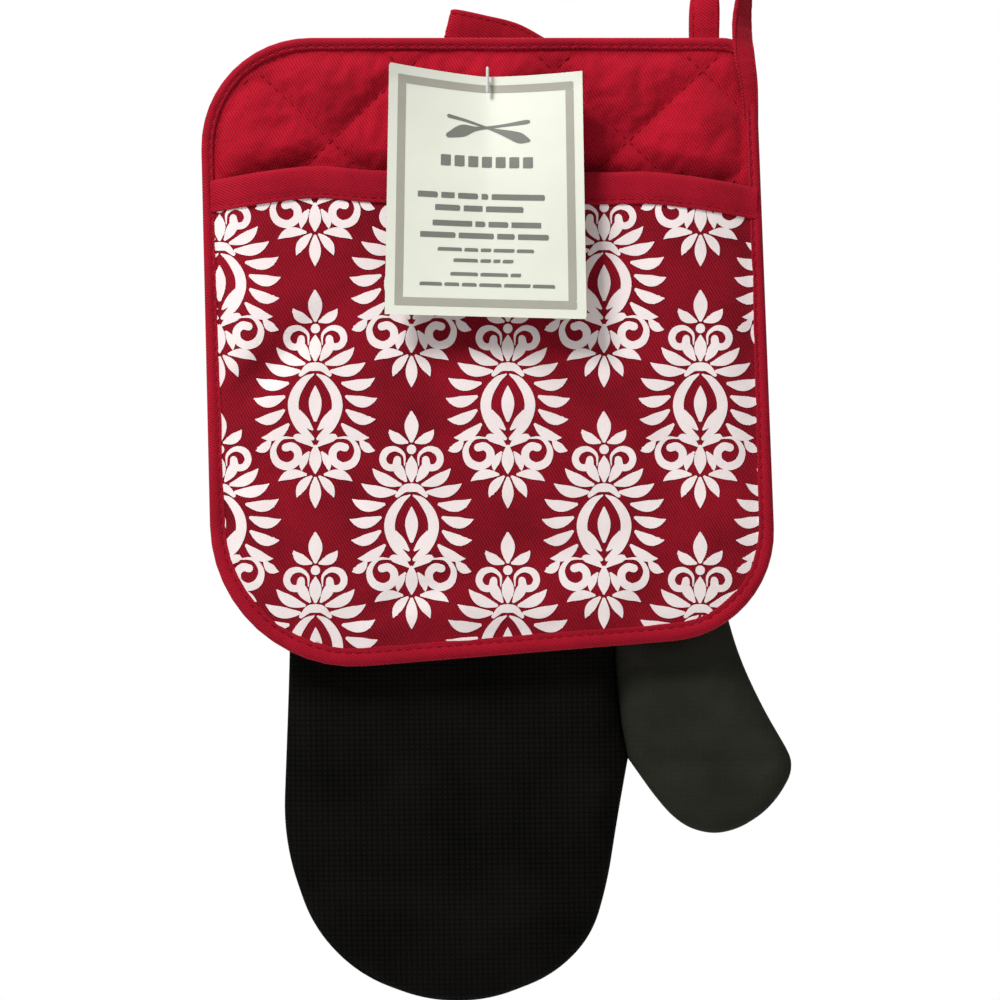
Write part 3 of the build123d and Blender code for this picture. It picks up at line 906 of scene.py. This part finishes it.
# The right half and the middle line of a plain damask medallion.
STROKES = [
    # Finial of three leaves on a round bead.
    leaf(0.0, 27.4, 90, 10.2, 5.0), leaf(1.6, 26.8, 40, 7.4, 3.6, -1.2), [(0.0, 24.4, 3.4), (0.0, 24.3, 3.4)],
    scroll(6.6, 20.6, 205, -395, 4.6, 2.5),
    # Crown: a fan of leaves over a collar.
    leaf(0.0, 13.6, 90, 8.6, 4.4), leaf(2.0, 13.6, 64, 8.6, 3.7, -0.6), leaf(3.9, 12.2, 34, 11.0, 4.0, -1.6),
    leaf(5.6, 9.6, 18, 12.0, 4.1, -1.8),
    [(0.0, 11.2, 3.1), (2.4, 10.8, 2.7), (5.0, 8.4, 1.4)],
    # Almond ring with a bud and a pair of leaves in it.
    [(0.5, 8.6, 0.5), (3.8, 6.4, 2.6), (6.9, 1.6, 3.6),
     (7.5, -3.6, 3.8), (5.1, -9.6, 3.3), (1.0, -13.6, 1.4)],
    leaf(0.0, -7.2, 90, 11.8, 4.6), leaf(1.1, -10.4, 60, 8.0, 3.0, -0.8),
    # Leaves down the side, each turned further down.
    leaf(9.6, 5.4, 14, 11.0, 4.1, -2.0), leaf(10.9, 0.8, 2, 10.4, 4.1, -2.0),
    leaf(11.0, -4.0, -12, 10.2, 4.0, -1.9), leaf(9.4, -8.8, -22, 10.2, 3.7, -1.7),
    # Scrolls below, and a calyx of hanging leaves.
    scroll(9.4, -18.8, 118, -410, 6.0, 2.9),
    [(1.0, -16.0, 1.0), (3.2, -14.3, 2.8), (6.2, -13.2, 2.7), (7.8, -13.4, 0.4)],
    leaf(15.6, -14.4, -30, 6.0, 3.3, -1.0),
    leaf(0.0, -16.4, -90, 9.4, 4.4), leaf(2.3, -18.4, -72, 6.8, 2.9, 0.8),
    leaf(3.4, -26.0, -18, 9.6, 3.5, 1.6), leaf(1.5, -26.8, -58, 8.6, 3.4, 0.9),
    leaf(0.0, -27.4, -90, 10.2, 4.2),
]
ORNAMENT_PITCH = (66.4, 83.4)
FRONT_ORNAMENT = (-142.2, -162.4)
BACK_ORNAMENT = (-112.0, -176.0)


def slim(stroke):
    """The stroke's line as a smooth curve, a little thinner, so that cloth shows between neighbours."""
    line = smooth_curve(stroke, 5)
    line[:, 2] = np.maximum(line[:, 2] * 0.96, 0.15)
    return line


def stroke_outline(stroke):
    """The closed outline of a stroke, with round ends where it is wide."""
    line = slim(stroke)
    along = np.gradient(line[:, :2], axis=0)
    along /= np.maximum(np.linalg.norm(along, axis=1), 1e-9)[:, None]
    left = np.column_stack([-along[:, 1], along[:, 0]])
    half = np.maximum(line[:, 2], 0.15)[:, None] / 2
    sides = [line[:, :2] + left * half, line[:, :2] - left * half]
    caps = []
    for end, sign in ((-1, 1), (0, -1)):
        cap = []
        if half[end, 0] > 0.35:
            for a in (30, 60, 90, 120, 150):
                t = math.radians(a)
                cap.append(line[end, :2] + half[end, 0] * sign * (
                    math.cos(t) * left[end] + math.sin(t) * along[end]))
        caps.append(np.array(cap).reshape(-1, 2))
    return np.vstack([sides[0], caps[0], sides[1][::-1], caps[1]])


def in_stroke(line, x, z):
    """True for points within half the stroke's width of its line."""
    found = np.zeros(len(x), bool)
    for a, b in zip(line[:-1], line[1:]):
        d = b[:2] - a[:2]
        t = np.clip(((x - a[0]) * d[0] + (z - a[1]) * d[1]) / max(d @ d, 1e-12), 0, 1)
        half = (a[2] + (b[2] - a[2]) * t) / 2
        found |= (x - a[0] - t * d[0]) ** 2 + (z - a[1] - t * d[1]) ** 2 < half * half
    return found


def make_ornament():
    """Triangles of one ornament about its own centre: both halves, with their overlaps joined."""
    points, edges, lines = [], [], []
    for stroke in STROKES:
        line = slim(stroke)
        for mirror in (1, -1):
            if mirror < 0 and all(abs(p[0]) < 1e-6 for p in stroke):
                continue
            outline = stroke_outline(stroke) * (mirror, 1)
            first, count = len(points), len(outline)
            points += [Vector(p) for p in outline]
            edges += [(first + k, first + (k + 1) % count) for k in range(count)]
            lines.append(line * (mirror, 1, 1))
    frame_loop = [(-24, -40), (24, -40), (24, 40), (-24, 40)]
    first = len(points)
    points += [Vector(p) for p in frame_loop]
    edges += [(first + k, first + (k + 1) % 4) for k in range(4)]
    points += [Vector((x, z)) for x in np.arange(-23, 23.1, 1.5) for z in np.arange(-39, 39.1, 1.5)]
    made = delaunay_2d_cdt(points, edges, [], 1, 1e-4)
    flat = np.array([tuple(p) for p in made[0]])
    faces = np.array([f for f in made[2] if len(f) == 3])
    middle = flat[faces].mean(axis=1)
    keep = np.zeros(len(faces), bool)
    for line in lines:
        keep |= in_stroke(line, *middle.T)
    used, faces = used_only(faces[keep])
    return flat[used], faces


def print_triangles(centre, clip):
    """The ornament repeated on a half-drop lattice, as far as the clip loop."""
    low, high = clip.min(axis=0), clip.max(axis=0)
    flat, faces = [], []
    for column in range(-4, 6):
        for row in range(-4, 5):
            for drop in (0.0, 0.5):
                x = centre[0] + (column + drop) * ORNAMENT_PITCH[0]
                z = centre[1] - (row + drop) * ORNAMENT_PITCH[1]
                if low[0] - 24 < x < high[0] + 24 and low[1] - 38 < z < high[1] + 38:
                    faces.append(ORNAMENT[1] + sum(len(f) for f in flat))
                    flat.append(ORNAMENT[0] + (x, z))
    flat, faces = np.vstack(flat), np.vstack(faces)
    used, faces = used_only(faces[inside(clip, *flat.T)[faces].any(axis=1)])
    flat = pulled_in(clip, flat[used])
    used, faces = used_only(faces[np.abs(turned_area(flat, faces)) > 1e-3])
    return flat[used], faces


ORNAMENT = make_ornament()


def make_pocket_print(skin):
    """White ornament on the pocket, a hair in front of the cloth that it follows."""
    clip = pocket_loop(0.86 * binding_width(*PAD_LOOP.T))
    clip = even_loop(np.column_stack([clip[:, 0], np.minimum(clip[:, 1], mouth(clip[:, 0]) - 8.0)]), 2.0)
    flat, faces = print_triangles(FRONT_ORNAMENT, clip)
    faces = facing_front(flat, faces)
    front, back = lay_on(skin, flat, -1)
    made = make_piece("pocket_ornament", *shell(front, back, faces), [PRINT])
    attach(made, "pot_holder")


# ---------------------------------------------------------------- mitt

FINGER_SIDE = [
    (-155.6, CUFF_TOP), (-153.0, -130), (-151.6, -235), (-154.6, -317), (-144.0, -347.6),
    (-127.6, -364.2), (-103.7, -373.0), (-83.0, -373.0), (-59.8, -364.0), (-46.4, -350.6),
    (-40.9, -332), (-37.0, -307), (-33.6, -287.9),
]
CREASE = [(-33.6, -287.9), (-36.0, -276.0), (-38.2, -255.0), (-38.6, -203.0)]
THUMB_SIDE = [
    (-33.58, -287.9), (-24.6, -300.6), (-18.4, -307.9), (-12.2, -312.4), (-3.5, -314.6), (5.4, -312.6),
    (14.2, -307.0), (19.8, -300.6), (23.6, -293.6), (23.9, -288.4), (22.0, -284.2), (13.9, -270.4),
    (5.4, -252.4), (-8.6, -203), (-8.8, -120), (-5.0, CUFF_TOP),
]
THUMB_CUT = [(-38.0, -245.5), (8.0, -229.0)]


def soft_path(corners):
    """Even points along a polygon with its inner corners rounded, from its first corner to its last."""
    path = [Vector(corners[0])]
    for before, corner, after in zip(corners, corners[1:], corners[2:]):
        here = Vector(corner)
        back, ahead = Vector(before) - here, Vector(after) - here
        reach = 0.49 * min(back.length, ahead.length)
        a, b = here + back.normalized() * reach, here + ahead.normalized() * reach
        path += [a * (1 - t) ** 2 + here * 2 * t * (1 - t) + b * t * t for t in np.linspace(0, 1, 9)]
    return spaced(path + [Vector(corners[-1])])


def spaced(path):
    """The same open path with a point about every 1.6 mm, ends included."""
    path = np.array([tuple(p) for p in path])
    run = run_of(path)
    return places_at(path, run, np.linspace(0, run[-1], int(run[-1] / 1.6)))


# From the cuff's left corner round the fingers, up the crease and back down it, and round the thumb.
CREASE_LINE = spaced(CREASE)
MITT_SEAM = np.vstack([
    soft_path(FINGER_SIDE), CREASE_LINE[1:], CREASE_LINE[::-1][:-1] + (0.02, 0.0), soft_path(THUMB_SIDE),
])


def crease_x(z):
    """X of the crease between fingers and thumb."""
    return np.interp(z, [p[1] for p in CREASE], [p[0] for p in CREASE])


def is_thumb(x, z):
    """True for points of the thumb below the line where it is cut from the hand."""
    (x0, z0), (x1, z1) = THUMB_CUT
    return (z < z0 + (z1 - z0) * (x - x0) / (x1 - x0)) & (x > crease_x(z) + 0.01)


def mitt_swell(x, z, seam, full):
    """Half thickness of the mitt: none at the seam, rounding over to the full depth."""
    away = distance(seam, x, z, closed=False)
    lean = np.clip(-(z + 215) * 0.05, -6, 4)
    thumb = 1 / (1 + np.exp(-((x + 36.0) - lean) / 4.0)) / (1 + np.exp((z + 225) / 9.0))
    reach = 15.0 - 3.0 * thumb
    t = np.clip(away / reach, 0, 1)
    shape = (1 - (1 - t) ** 2.4) ** (1 / 2.1)
    body = full * (1 - 0.16 * thumb)
    body = body * (1.0 - 0.13 * np.exp(-((z + 372) / 34.0) ** 2))
    return 0.35 + (body - 0.35) * shape


MITT_LOOKS = {
    ("neoprene", "hand"): PALM, ("neoprene", "thumb"): THUMB,
    ("printed_twill", "hand"): PRINTED_TWILL, ("printed_twill", "thumb"): PRINTED_TWILL,
    ("lining", "hand"): LINING, ("lining", "thumb"): LINING,
}


def make_mitt():
    """Palm, printed back and lining, each with the thumb as a piece of its own."""
    seam, notch_z = MITT_SEAM, CREASE[0][1]
    cuff = np.column_stack([np.linspace(seam[-1, 0], seam[0, 0], 90)[1:-1], np.full(88, CUFF_TOP)])
    loop = np.vstack([seam, cuff])
    normals = outward(loop)
    rings = []
    for d in (0.5, 1.2, 2.2, 3.6, 5.4, 7.8):
        ring = loop - normals * d
        keep = inside(loop, *ring.T) & (distance(loop, *ring.T) > 0.93 * d)
        rings.append(ring[keep][::1 if d < 3 else 2])
    middle = grid_in(loop, 3.4, 9.4)
    cut = np.linspace(THUMB_CUT[0], THUMB_CUT[1], 31)
    spread = np.vstack(rings + [middle])
    spread = spread[distance(cut, *spread.T, closed=False) > 1.0]
    flat, faces = triangulate(loop, spread, [cut])
    faces = facing_front(flat, faces)
    x, z = flat.T
    swell = mitt_swell(x, z, seam, MITT_HALF - 0.3)
    away = distance(seam, x, z, closed=False)
    soft = (0.35 * lumps(x, z, 40.0, 12.0) + 0.12 * lumps(x, z, 12.0, 14.0)) * np.clip(away / 9.0, 0, 1)
    count = len(flat)
    bag = np.vstack([
        raised(flat, MITT_MIDDLE - swell - soft), raised(flat, MITT_MIDDLE + swell + soft * 1.3)])
    rim = [(b, a, a + count, b + count) for a, b in rim_edges(faces.tolist())
           if min(z[a], z[b]) < CUFF_TOP - 0.5]
    skins = faces.tolist() + (faces[:, ::-1] + count).tolist() + rim
    held = np.tile((away < 0.4) | (z > CUFF_TOP - 3.0), 2)
    blown = settle(bag, skins, held, 2.0, 0.015, 1.6)
    front_bulge = MITT_MIDDLE - np.maximum(blown[:count, 1], MITT_BOX[0].y)
    back_bulge = np.minimum(blown[count:, 1], BACK_BOX[1].y + 1.5) - MITT_MIDDLE
    centre = flat[faces].mean(axis=1)
    thumb_faces = is_thumb(*centre.T)
    made = {}
    layers = [
        # name, side, how far its outside is from the middle, thickness, slot
        ("palm", -1, front_bulge, WALL, "neoprene"),
        ("back", 1, back_bulge, WALL, "printed_twill"),
        ("palm_lining", -1, front_bulge - LINING_DEPTH, LINING_WALL, "lining"),
        ("back_lining", 1, back_bulge - LINING_DEPTH, LINING_WALL, "lining"),
    ]
    deep = away[faces].min(axis=1) > 6.0
    # The thumb's edge laps a hair over the fingers' edge, so that the crease stays shut.
    lap = np.zeros((count, 3))
    lap[(np.abs(x - crease_x(z)) < 0.3) & (z > notch_z + 0.4), 0] = 0.12
    for name, side, outer, wall, slot in layers:
        front = raised(flat, MITT_MIDDLE + side * outer)
        back = raised(flat, MITT_MIDDLE + side * np.maximum(outer - wall, 0.03))
        skin = faces if side < 0 else faces[:, ::-1]
        normals = sheet_normals(front, skin)
        shown = deep if slot == "lining" else np.ones(len(faces), bool)
        for part, chosen in (("hand", shown & ~thumb_faces), ("thumb", shown & thumb_faces)):
            used, chosen_faces = used_only(skin[chosen])
            shift = lap[used] if part == "thumb" else 0.0
            solid = shell(front[used] - shift, back[used] - shift, chosen_faces)
            piece = make_piece(f"mitt_{name}_{part}", *solid, [MITT_LOOKS[slot, part]], sharp=70.0,
                               normals=np.vstack([normals[used], -normals[used]]))
            made[name, part] = piece
    back_skin = BVHTree.FromPolygons(
        [Vector(p) for p in raised(flat, MITT_MIDDLE + back_bulge)], faces.tolist())
    return made, loop, back_skin


def make_mitt_print(loop, skin):
    """The same ornament on the mitt's back, for the hand and for the thumb."""
    clip = loop - outward(loop) * 2.2
    flat, faces = print_triangles(BACK_ORNAMENT, clip)
    faces = facing_front(flat, faces)[:, ::-1]
    outer, inner = lay_on(skin, flat, 1)
    centre = flat[faces].mean(axis=1)
    thumb = is_thumb(*centre.T)
    below = centre[:, 1] < CUFF_TOP - 8.0
    made = {}
    for part, chosen in (("hand", below & ~thumb), ("thumb", below & thumb)):
        used, chosen_faces = used_only(faces[chosen])
        solid = shell(outer[used], inner[used], chosen_faces)
        piece = make_piece(f"mitt_ornament_{part}", *solid, [PRINT])
        made["ornament", part] = piece
    return made


def make_cuff_band():
    """Binding folded over the open edge of the cuff, with its stitches."""
    seam = MITT_SEAM
    xs = CUFF_LEFT + 0.6 + (CUFF_RIGHT - 1.2 - CUFF_LEFT) * (1 - np.cos(np.linspace(0, math.pi, 120))) / 2
    half = mitt_swell(xs, np.full(120, CUFF_TOP - 4.0), seam, MITT_HALF - 0.3)
    ring = np.vstack([
        np.column_stack([xs, MITT_MIDDLE - half]),
        np.column_stack([xs, MITT_MIDDLE + half])[::-1],
    ])
    ring = even_loop(ring, 1.6)
    normals = outward(ring)
    depth = np.clip(np.abs(ring[:, 1] - MITT_MIDDLE) / 7.0, 0.12, 1.0)
    seam_drop = -8.6
    # Round the folded tape: out from the mitt's face, and up from the cuff's edge.
    section = [(0.05, -10.4), (0.7, -10.3), (0.85, -9.2), (0.6, seam_drop), (0.85, -8.0), (0.9, -1.0),
               (0.7, 0.5), (0.0, 0.85), (-2.0, 0.9), (-3.6, 0.6), (-4.2, -0.6), (-4.3, -9.4),
               (-3.9, -9.5), (-3.7, -0.3), (-0.1, -0.3)]
    points = []
    for out, up in section:
        place = ring + normals * (np.where(out < -0.2, out * depth, out))[:, None]
        points.append(np.column_stack([place, np.full(len(ring), CUFF_TOP + up)]))
    faces = strip_faces(len(section), len(ring), flip=True)
    band = make_piece("cuff_band", np.vstack(points), faces, [BINDING_CLOTH])
    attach(band, "mitt_hand")
    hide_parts("cuff_binding")
    place = ring + normals * 0.62
    path = np.column_stack([place, np.full(len(ring), CUFF_TOP + seam_drop)])
    run = stitch_run(path, np.column_stack([normals, np.zeros(len(ring))]), 2.5, 0.8, 0.26)
    sew("cuff_stitches", [run], "mitt_hand")


def bend_with(piece, part):
    """Bakes the placement of a piece of the mitt into its mesh, the same for the thumb's pieces as for the
    rest.
    """
    if part == "thumb":
        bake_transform(piece)
    else:
        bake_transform(piece)


# ---------------------------------------------------------------- loops

def make_loops():
    """The pot holder's hanging loop, and the mitt's loop that flops over behind the pot holder."""
    stations = [
        ((-7.6, 0.0, -43.0), (-1, 0.05, 0), 10.4),
        ((-7.7, 0.0, -36.0), (-1, 0.05, 0), 10.6),
        ((-7.6, -0.2, -28.0), (-0.98, 0.15, 0), 10.7),
        ((-7.3, -0.2, -19.0), (-0.75, 0.6, 0), 10.3),
        ((-7.0, 0.0, -11.0), (-0.25, 0.97, 0), 10.0),
        ((-5.2, 0.0, -1.9), (0, 1, 0), 10.0),
        ((0.0, 0.0, 0.9), (0, 1, 0), 10.0),
        ((5.4, 0.0, -1.9), (0, 1, 0), 10.0),
        ((7.0, 0.0, -11.0), (0.2, 0.98, 0), 10.0),
        ((6.6, 0.2, -20.0), (0.5, 0.86, 0), 10.0),
        ((5.6, -0.6, -29.0), (0.66, 0.75, 0), 9.6),
        ((5.4, -2.6, -37.0), (0.86, 0.5, 0), 8.0),
        ((6.2, -4.4, -45.0), (1.0, 0.12, 0), 7.2),
        ((7.5, -4.5, -53.0), (1.0, 0.05, 0.03), 6.2),
        ((8.2, -3.4, -62.0), (1.0, 0.02, 0.03), 5.4),
        ((8.6, -1.4, -71.0), (1.0, 0.0, 0.03), 4.8),
    ]
    tape, stitches = make_tape("hanging_tape", stations, 1.7, TAPE_CLOTH)
    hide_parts("hanging_loop")
    for piece in (tape, stitches):
        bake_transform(piece)
    y = LOOP_BOX[0].y + 5.0
    stations = [
        ((-64.0, y + 1.7, -43.6), (0.25, 0.05, 0.97), 8.5),
        ((-74.0, y + 1.8, -37.4), (0.25, 0.05, 0.97), 9.6),
        ((-85.0, y + 1.7, -33.0), (0.22, 0.05, 0.97), 10.4),
        ((-93.5, y + 1.4, -30.2), (0.22, 0.05, 0.97), 10.8),
        ((-96.3, y, -29.4), (0.25, 0.05, 0.97), 10.8),
        ((-93.5, y - 1.4, -29.8), (0.22, -0.05, 0.97), 10.8),
        ((-85.0, y - 1.9, -31.6), (0.2, -0.08, 0.97), 10.6),
        ((-74.0, y - 1.9, -34.2), (0.2, -0.08, 0.97), 10.2),
        ((-63.5, y - 1.7, -39.4), (0.3, -0.05, 0.95), 9.4),
    ]
    tape, stitches = make_tape("mitt_tape", stations, 1.6, TAPE_CLOTH)
    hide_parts("mitt_loop")
    for piece in (tape, stitches):
        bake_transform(piece)


# ---------------------------------------------------------------- swing tag

CARD_CORNERS = ((-116.4, -47.6), (-50.4, -50.6), (-117.9, -133.7), (-48.9, -135.4))
CARD_SIZE = (68.0, 85.0)
HOLE_DOWN = 4.6
PIN_PLACE = ((PIN_BOX[0].x + PIN_BOX[1].x) / 2, (PIN_BOX[0].z + PIN_BOX[1].z) / 2)


def on_card(across, down, ahead=0.0):
    """A place on the bent card: across from its middle and down from its top edge, in millimetres."""
    u, v = np.asarray(across, float) / CARD_SIZE[0] + 0.5, np.asarray(down, float) / CARD_SIZE[1]
    tl, tr, bl, br = (np.array(c) for c in CARD_CORNERS)
    u, v = u[:, None], v[:, None]
    flat = tl * (1 - u) * (1 - v) + tr * u * (1 - v) + bl * (1 - u) * v + br * u * v
    u, v = u[:, 0], v[:, 0]
    wing = np.abs(2 * u - 1) ** 1.35
    lift = 9.5 * (1 - v) ** 1.4 * wing + 0.8 * wing
    middle = np.interp(v, [0, 0.06, 0.45, 1.0], [-7.2, -7.3, -12.2, -17.0])
    flat[:, 1] -= 2.2 * (1 - wing) * (1 - v) ** 3
    return np.column_stack([flat[:, 0], middle - lift - ahead, flat[:, 1]])


def card_print(name, loops, look, ahead):
    """Flat shapes printed on the card and bent with it, each a closed sheet ahead millimetres off it."""
    sheets = []
    for loop in loops:
        flat, faces = triangulate(loop, grid_in(loop, 2.2, 0.5))
        faces = facing_front(flat, faces)
        front = on_card(flat[:, 0], -flat[:, 1], ahead)
        back = on_card(flat[:, 0], -flat[:, 1], ahead - 0.14)
        sheets.append(shell(front, back, faces.tolist()))
    made = make_piece(name, *join_runs(sheets), [look], sharp=35.0)
    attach(made, "swing_tag")


def bar(left, right, down, height):
    """A rectangle on the card, as an anticlockwise loop with its y upwards."""
    low, high = -down - height, -down
    return even_loop(np.array([(left, low), (right, low), (right, high), (left, high)]), 0.9)


def words(left, right, down, height, lengths, gap):
    """A row of word-like bars between two places, with the given relative lengths."""
    unit = (right - left - gap * (len(lengths) - 1)) / sum(lengths)
    row, at = [], left
    for length in lengths:
        row.append(bar(at, at + unit * length, down, height))
        at += unit * length + gap
    return row


# Rows of bars that stand for printing: left, right, down, height, relative lengths, gap.
MARK_ROWS = [
    (-15.6, 16.4, 29.4, 3.9, [1] * 7, 1.3),
    (-23.4, 20.4, 42.6, 2.0, [3, 2, 3, 1, 8], 1.2),
    (-17.4, 13.0, 46.9, 2.0, [4, 3, 6], 1.2),
    (-18.2, 19.0, 52.3, 1.9, [8, 2, 4, 6], 1.1),
    (-22.4, 21.6, 56.4, 1.9, [8, 8, 4, 7], 1.1),
    (-16.4, 16.6, 61.6, 1.2, [7, 4, 3, 6, 5], 0.8),
    (-11.0, 9.4, 65.3, 1.2, [7, 3, 2, 3], 0.8),
    (-12.0, 12.0, 70.0, 1.2, [8, 8, 3], 0.8),
    (-22.4, 23.6, 73.6, 1.2, [6, 4, 4, 6, 7, 6], 0.8),
]
# Two crossed spoons, as strokes of (across, up, width).
SPOONS = [
    [(-13, -22.5, 2.0), (-8, -20.5, 4.5), (-3, -19.4, 1.5),
     (5, -18.2, 1.0), (13, -17.0, 1.6), (15, -16.7, 1.4)],
    [(-13, -15.6, 1.4), (-6, -17.0, 1.0), (2, -19.4, 1.0),
     (8, -21.2, 3.0), (12, -22.6, 4.0), (15, -23.4, 1.4)],
]


def make_tag():
    """The card with a plain border and unreadable marks, and the plastic pin that holds everything."""
    hole = even_loop(np.array([
        (1.2 * math.cos(a), 1.2 * math.sin(a) - HOLE_DOWN)
        for a in np.linspace(0, 2 * math.pi, 17)[:-1]]), 0.45)
    sheet = even_loop(np.array([(-34, -85), (34, -85), (34, 0), (-34, 0)]), 1.5)
    flat, faces = triangulate(sheet, np.vstack([grid_in(sheet, 2.2, 1.2), hole]))
    middle = flat[faces].mean(axis=1)
    faces = facing_front(flat, faces[middle[:, 0] ** 2 + (middle[:, 1] + HOLE_DOWN) ** 2 > 1.0])
    front = on_card(flat[:, 0], -flat[:, 1])
    back = on_card(flat[:, 0], -flat[:, 1], -0.5)
    card = make_piece("tag_card", *shell(front, back, faces.tolist()), [CARD], sharp=35.0)
    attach(card, "swing_tag")
    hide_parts("hang_tag")
    border = [
        bar(-30.8, 30.8, 3.2, 2.8), bar(-30.8, 30.8, 79.0, 2.8),
        bar(-30.8, -28.0, 6.0, 73.0), bar(28.0, 30.8, 6.0, 73.0),
    ]
    card_print("tag_border", border, CARD_INK, 0.10)
    for name, spoon, ahead in zip(("tag_emblem", "tag_emblem_2"), SPOONS, (0.10, 0.13)):
        card_print(name, [even_loop(stroke_outline(spoon), 0.9)], CARD_DARK, ahead)
    card_print("tag_marks", [mark for row in MARK_ROWS for mark in words(*row)], CARD_DARK, 0.10)

    px, pz = PIN_PLACE
    front_y, back_y = PIN_BOX[0].y + 0.55, PIN_BOX[1].y
    t_bar = [(px, front_y, pz + t) for t in (-4.6, -4.3, -3.6, 0.0, 3.6, 4.3, 4.6)]
    thread = [(px, t, pz) for t in np.linspace(front_y, back_y - 0.4, 12)]
    paddle = [(px + t, back_y - 0.5, pz) for t in (-3.0, -2.6, -1.5, 0, 1.5, 2.6, 3.0)]
    pin = make_piece("tack_pin", *join_runs([
        tube(t_bar, [0.2, 0.45, 0.55, 0.55, 0.55, 0.45, 0.2], 10),
        tube(thread, [0.5] + [0.34] * 10 + [0.6], 10),
        tube(paddle, [0.3, 0.45, 0.5, 0.5, 0.5, 0.45, 0.3], 10),
    ]), [NYLON])
    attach(pin, "pot_holder")
    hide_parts("tag_pin")


# ---------------------------------------------------------------- making it all

make_quilted_panel()
make_back_panel()
make_edge_binding()
make_quilt_stitches()
pocket_skin = make_pocket()
make_pocket_band()
make_pocket_print(pocket_skin)
mitt, mitt_outline, mitt_back = make_mitt()
mitt.update(make_mitt_print(mitt_outline, mitt_back))
make_cuff_band()
make_loops()
make_tag()
for (_, part), piece in mitt.items():
    bend_with(piece, part)
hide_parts("palm_panel_hand", "palm_panel_fingers")
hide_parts("palm_panel_thumb")
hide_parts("back_cover_hand", "back_cover_fingers", "back_batting_hand", "back_batting_fingers")
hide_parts("back_cover_thumb", "back_batting_thumb")
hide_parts("lining_hand", "lining_fingers")
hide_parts("lining_thumb")


# ---------------------------------------------------------------- stage

def make_stage():
    """Floor, lights, world and camera."""
    corners = [(x * FLOOR_HALF, y * FLOOR_HALF, FLOOR_Z) for x, y in ((-1, -1), (1, -1), (1, 1), (-1, 1))]
    floor = make_piece("floor", corners, [(0, 1, 2, 3)], [FLOOR])
    world = bpy.data.worlds.new("studio")
    bpy.context.scene.world = world
    world.use_nodes = True
    tree = world.node_tree
    background = tree.nodes["Background"]
    background.inputs["Color"].default_value = (1, 1, 1, 1)
    path = tree.nodes.new("ShaderNodeLightPath")
    strength = calc(tree, "MULTIPLY_ADD", path.outputs["Is Camera Ray"], 0.78, 0.22)
    tree.links.new(strength, background.inputs["Strength"])
    for name, place, size, power in (
        ("key", (-0.72, -0.75, 0.85), 0.40, 26.0),
        ("fill", (0.7, -1.5, 0.3), 1.0, 1.8),
        ("rear", (0.2, 1.4, 0.8), 1.2, 24.0),
        ("top", (0.0, 0.4, 1.9), 4.0, 42.0),
    ):
        data = bpy.data.lights.new(name, "AREA")
        data.size = size
        data.energy = power
        lamp = bpy.data.objects.new(name, data)
        bpy.context.scene.collection.objects.link(lamp)
        lamp.location = place
        aim = Vector((VIEW_CENTRE[0] * MM, 0, VIEW_CENTRE[1] * MM)) - Vector(place)
        lamp.rotation_mode = "QUATERNION"
        lamp.rotation_quaternion = aim.to_track_quat("-Z", "Y")
    camera_data = bpy.data.cameras.new("camera")
    camera_data.sensor_width = 36.0
    camera_data.lens = 36.0 * VIEW_DISTANCE / VIEW_WIDTH
    camera = bpy.data.objects.new("camera", camera_data)
    bpy.context.scene.collection.objects.link(camera)
    camera.location = (VIEW_CENTRE[0] * MM, (PAD_FRONT - VIEW_DISTANCE) * MM, VIEW_CENTRE[1] * MM)
    camera.rotation_euler = (math.radians(90), 0, 0)
    bpy.context.scene.camera = camera
    bpy.context.scene.view_settings.view_transform = "Standard"


make_stage()
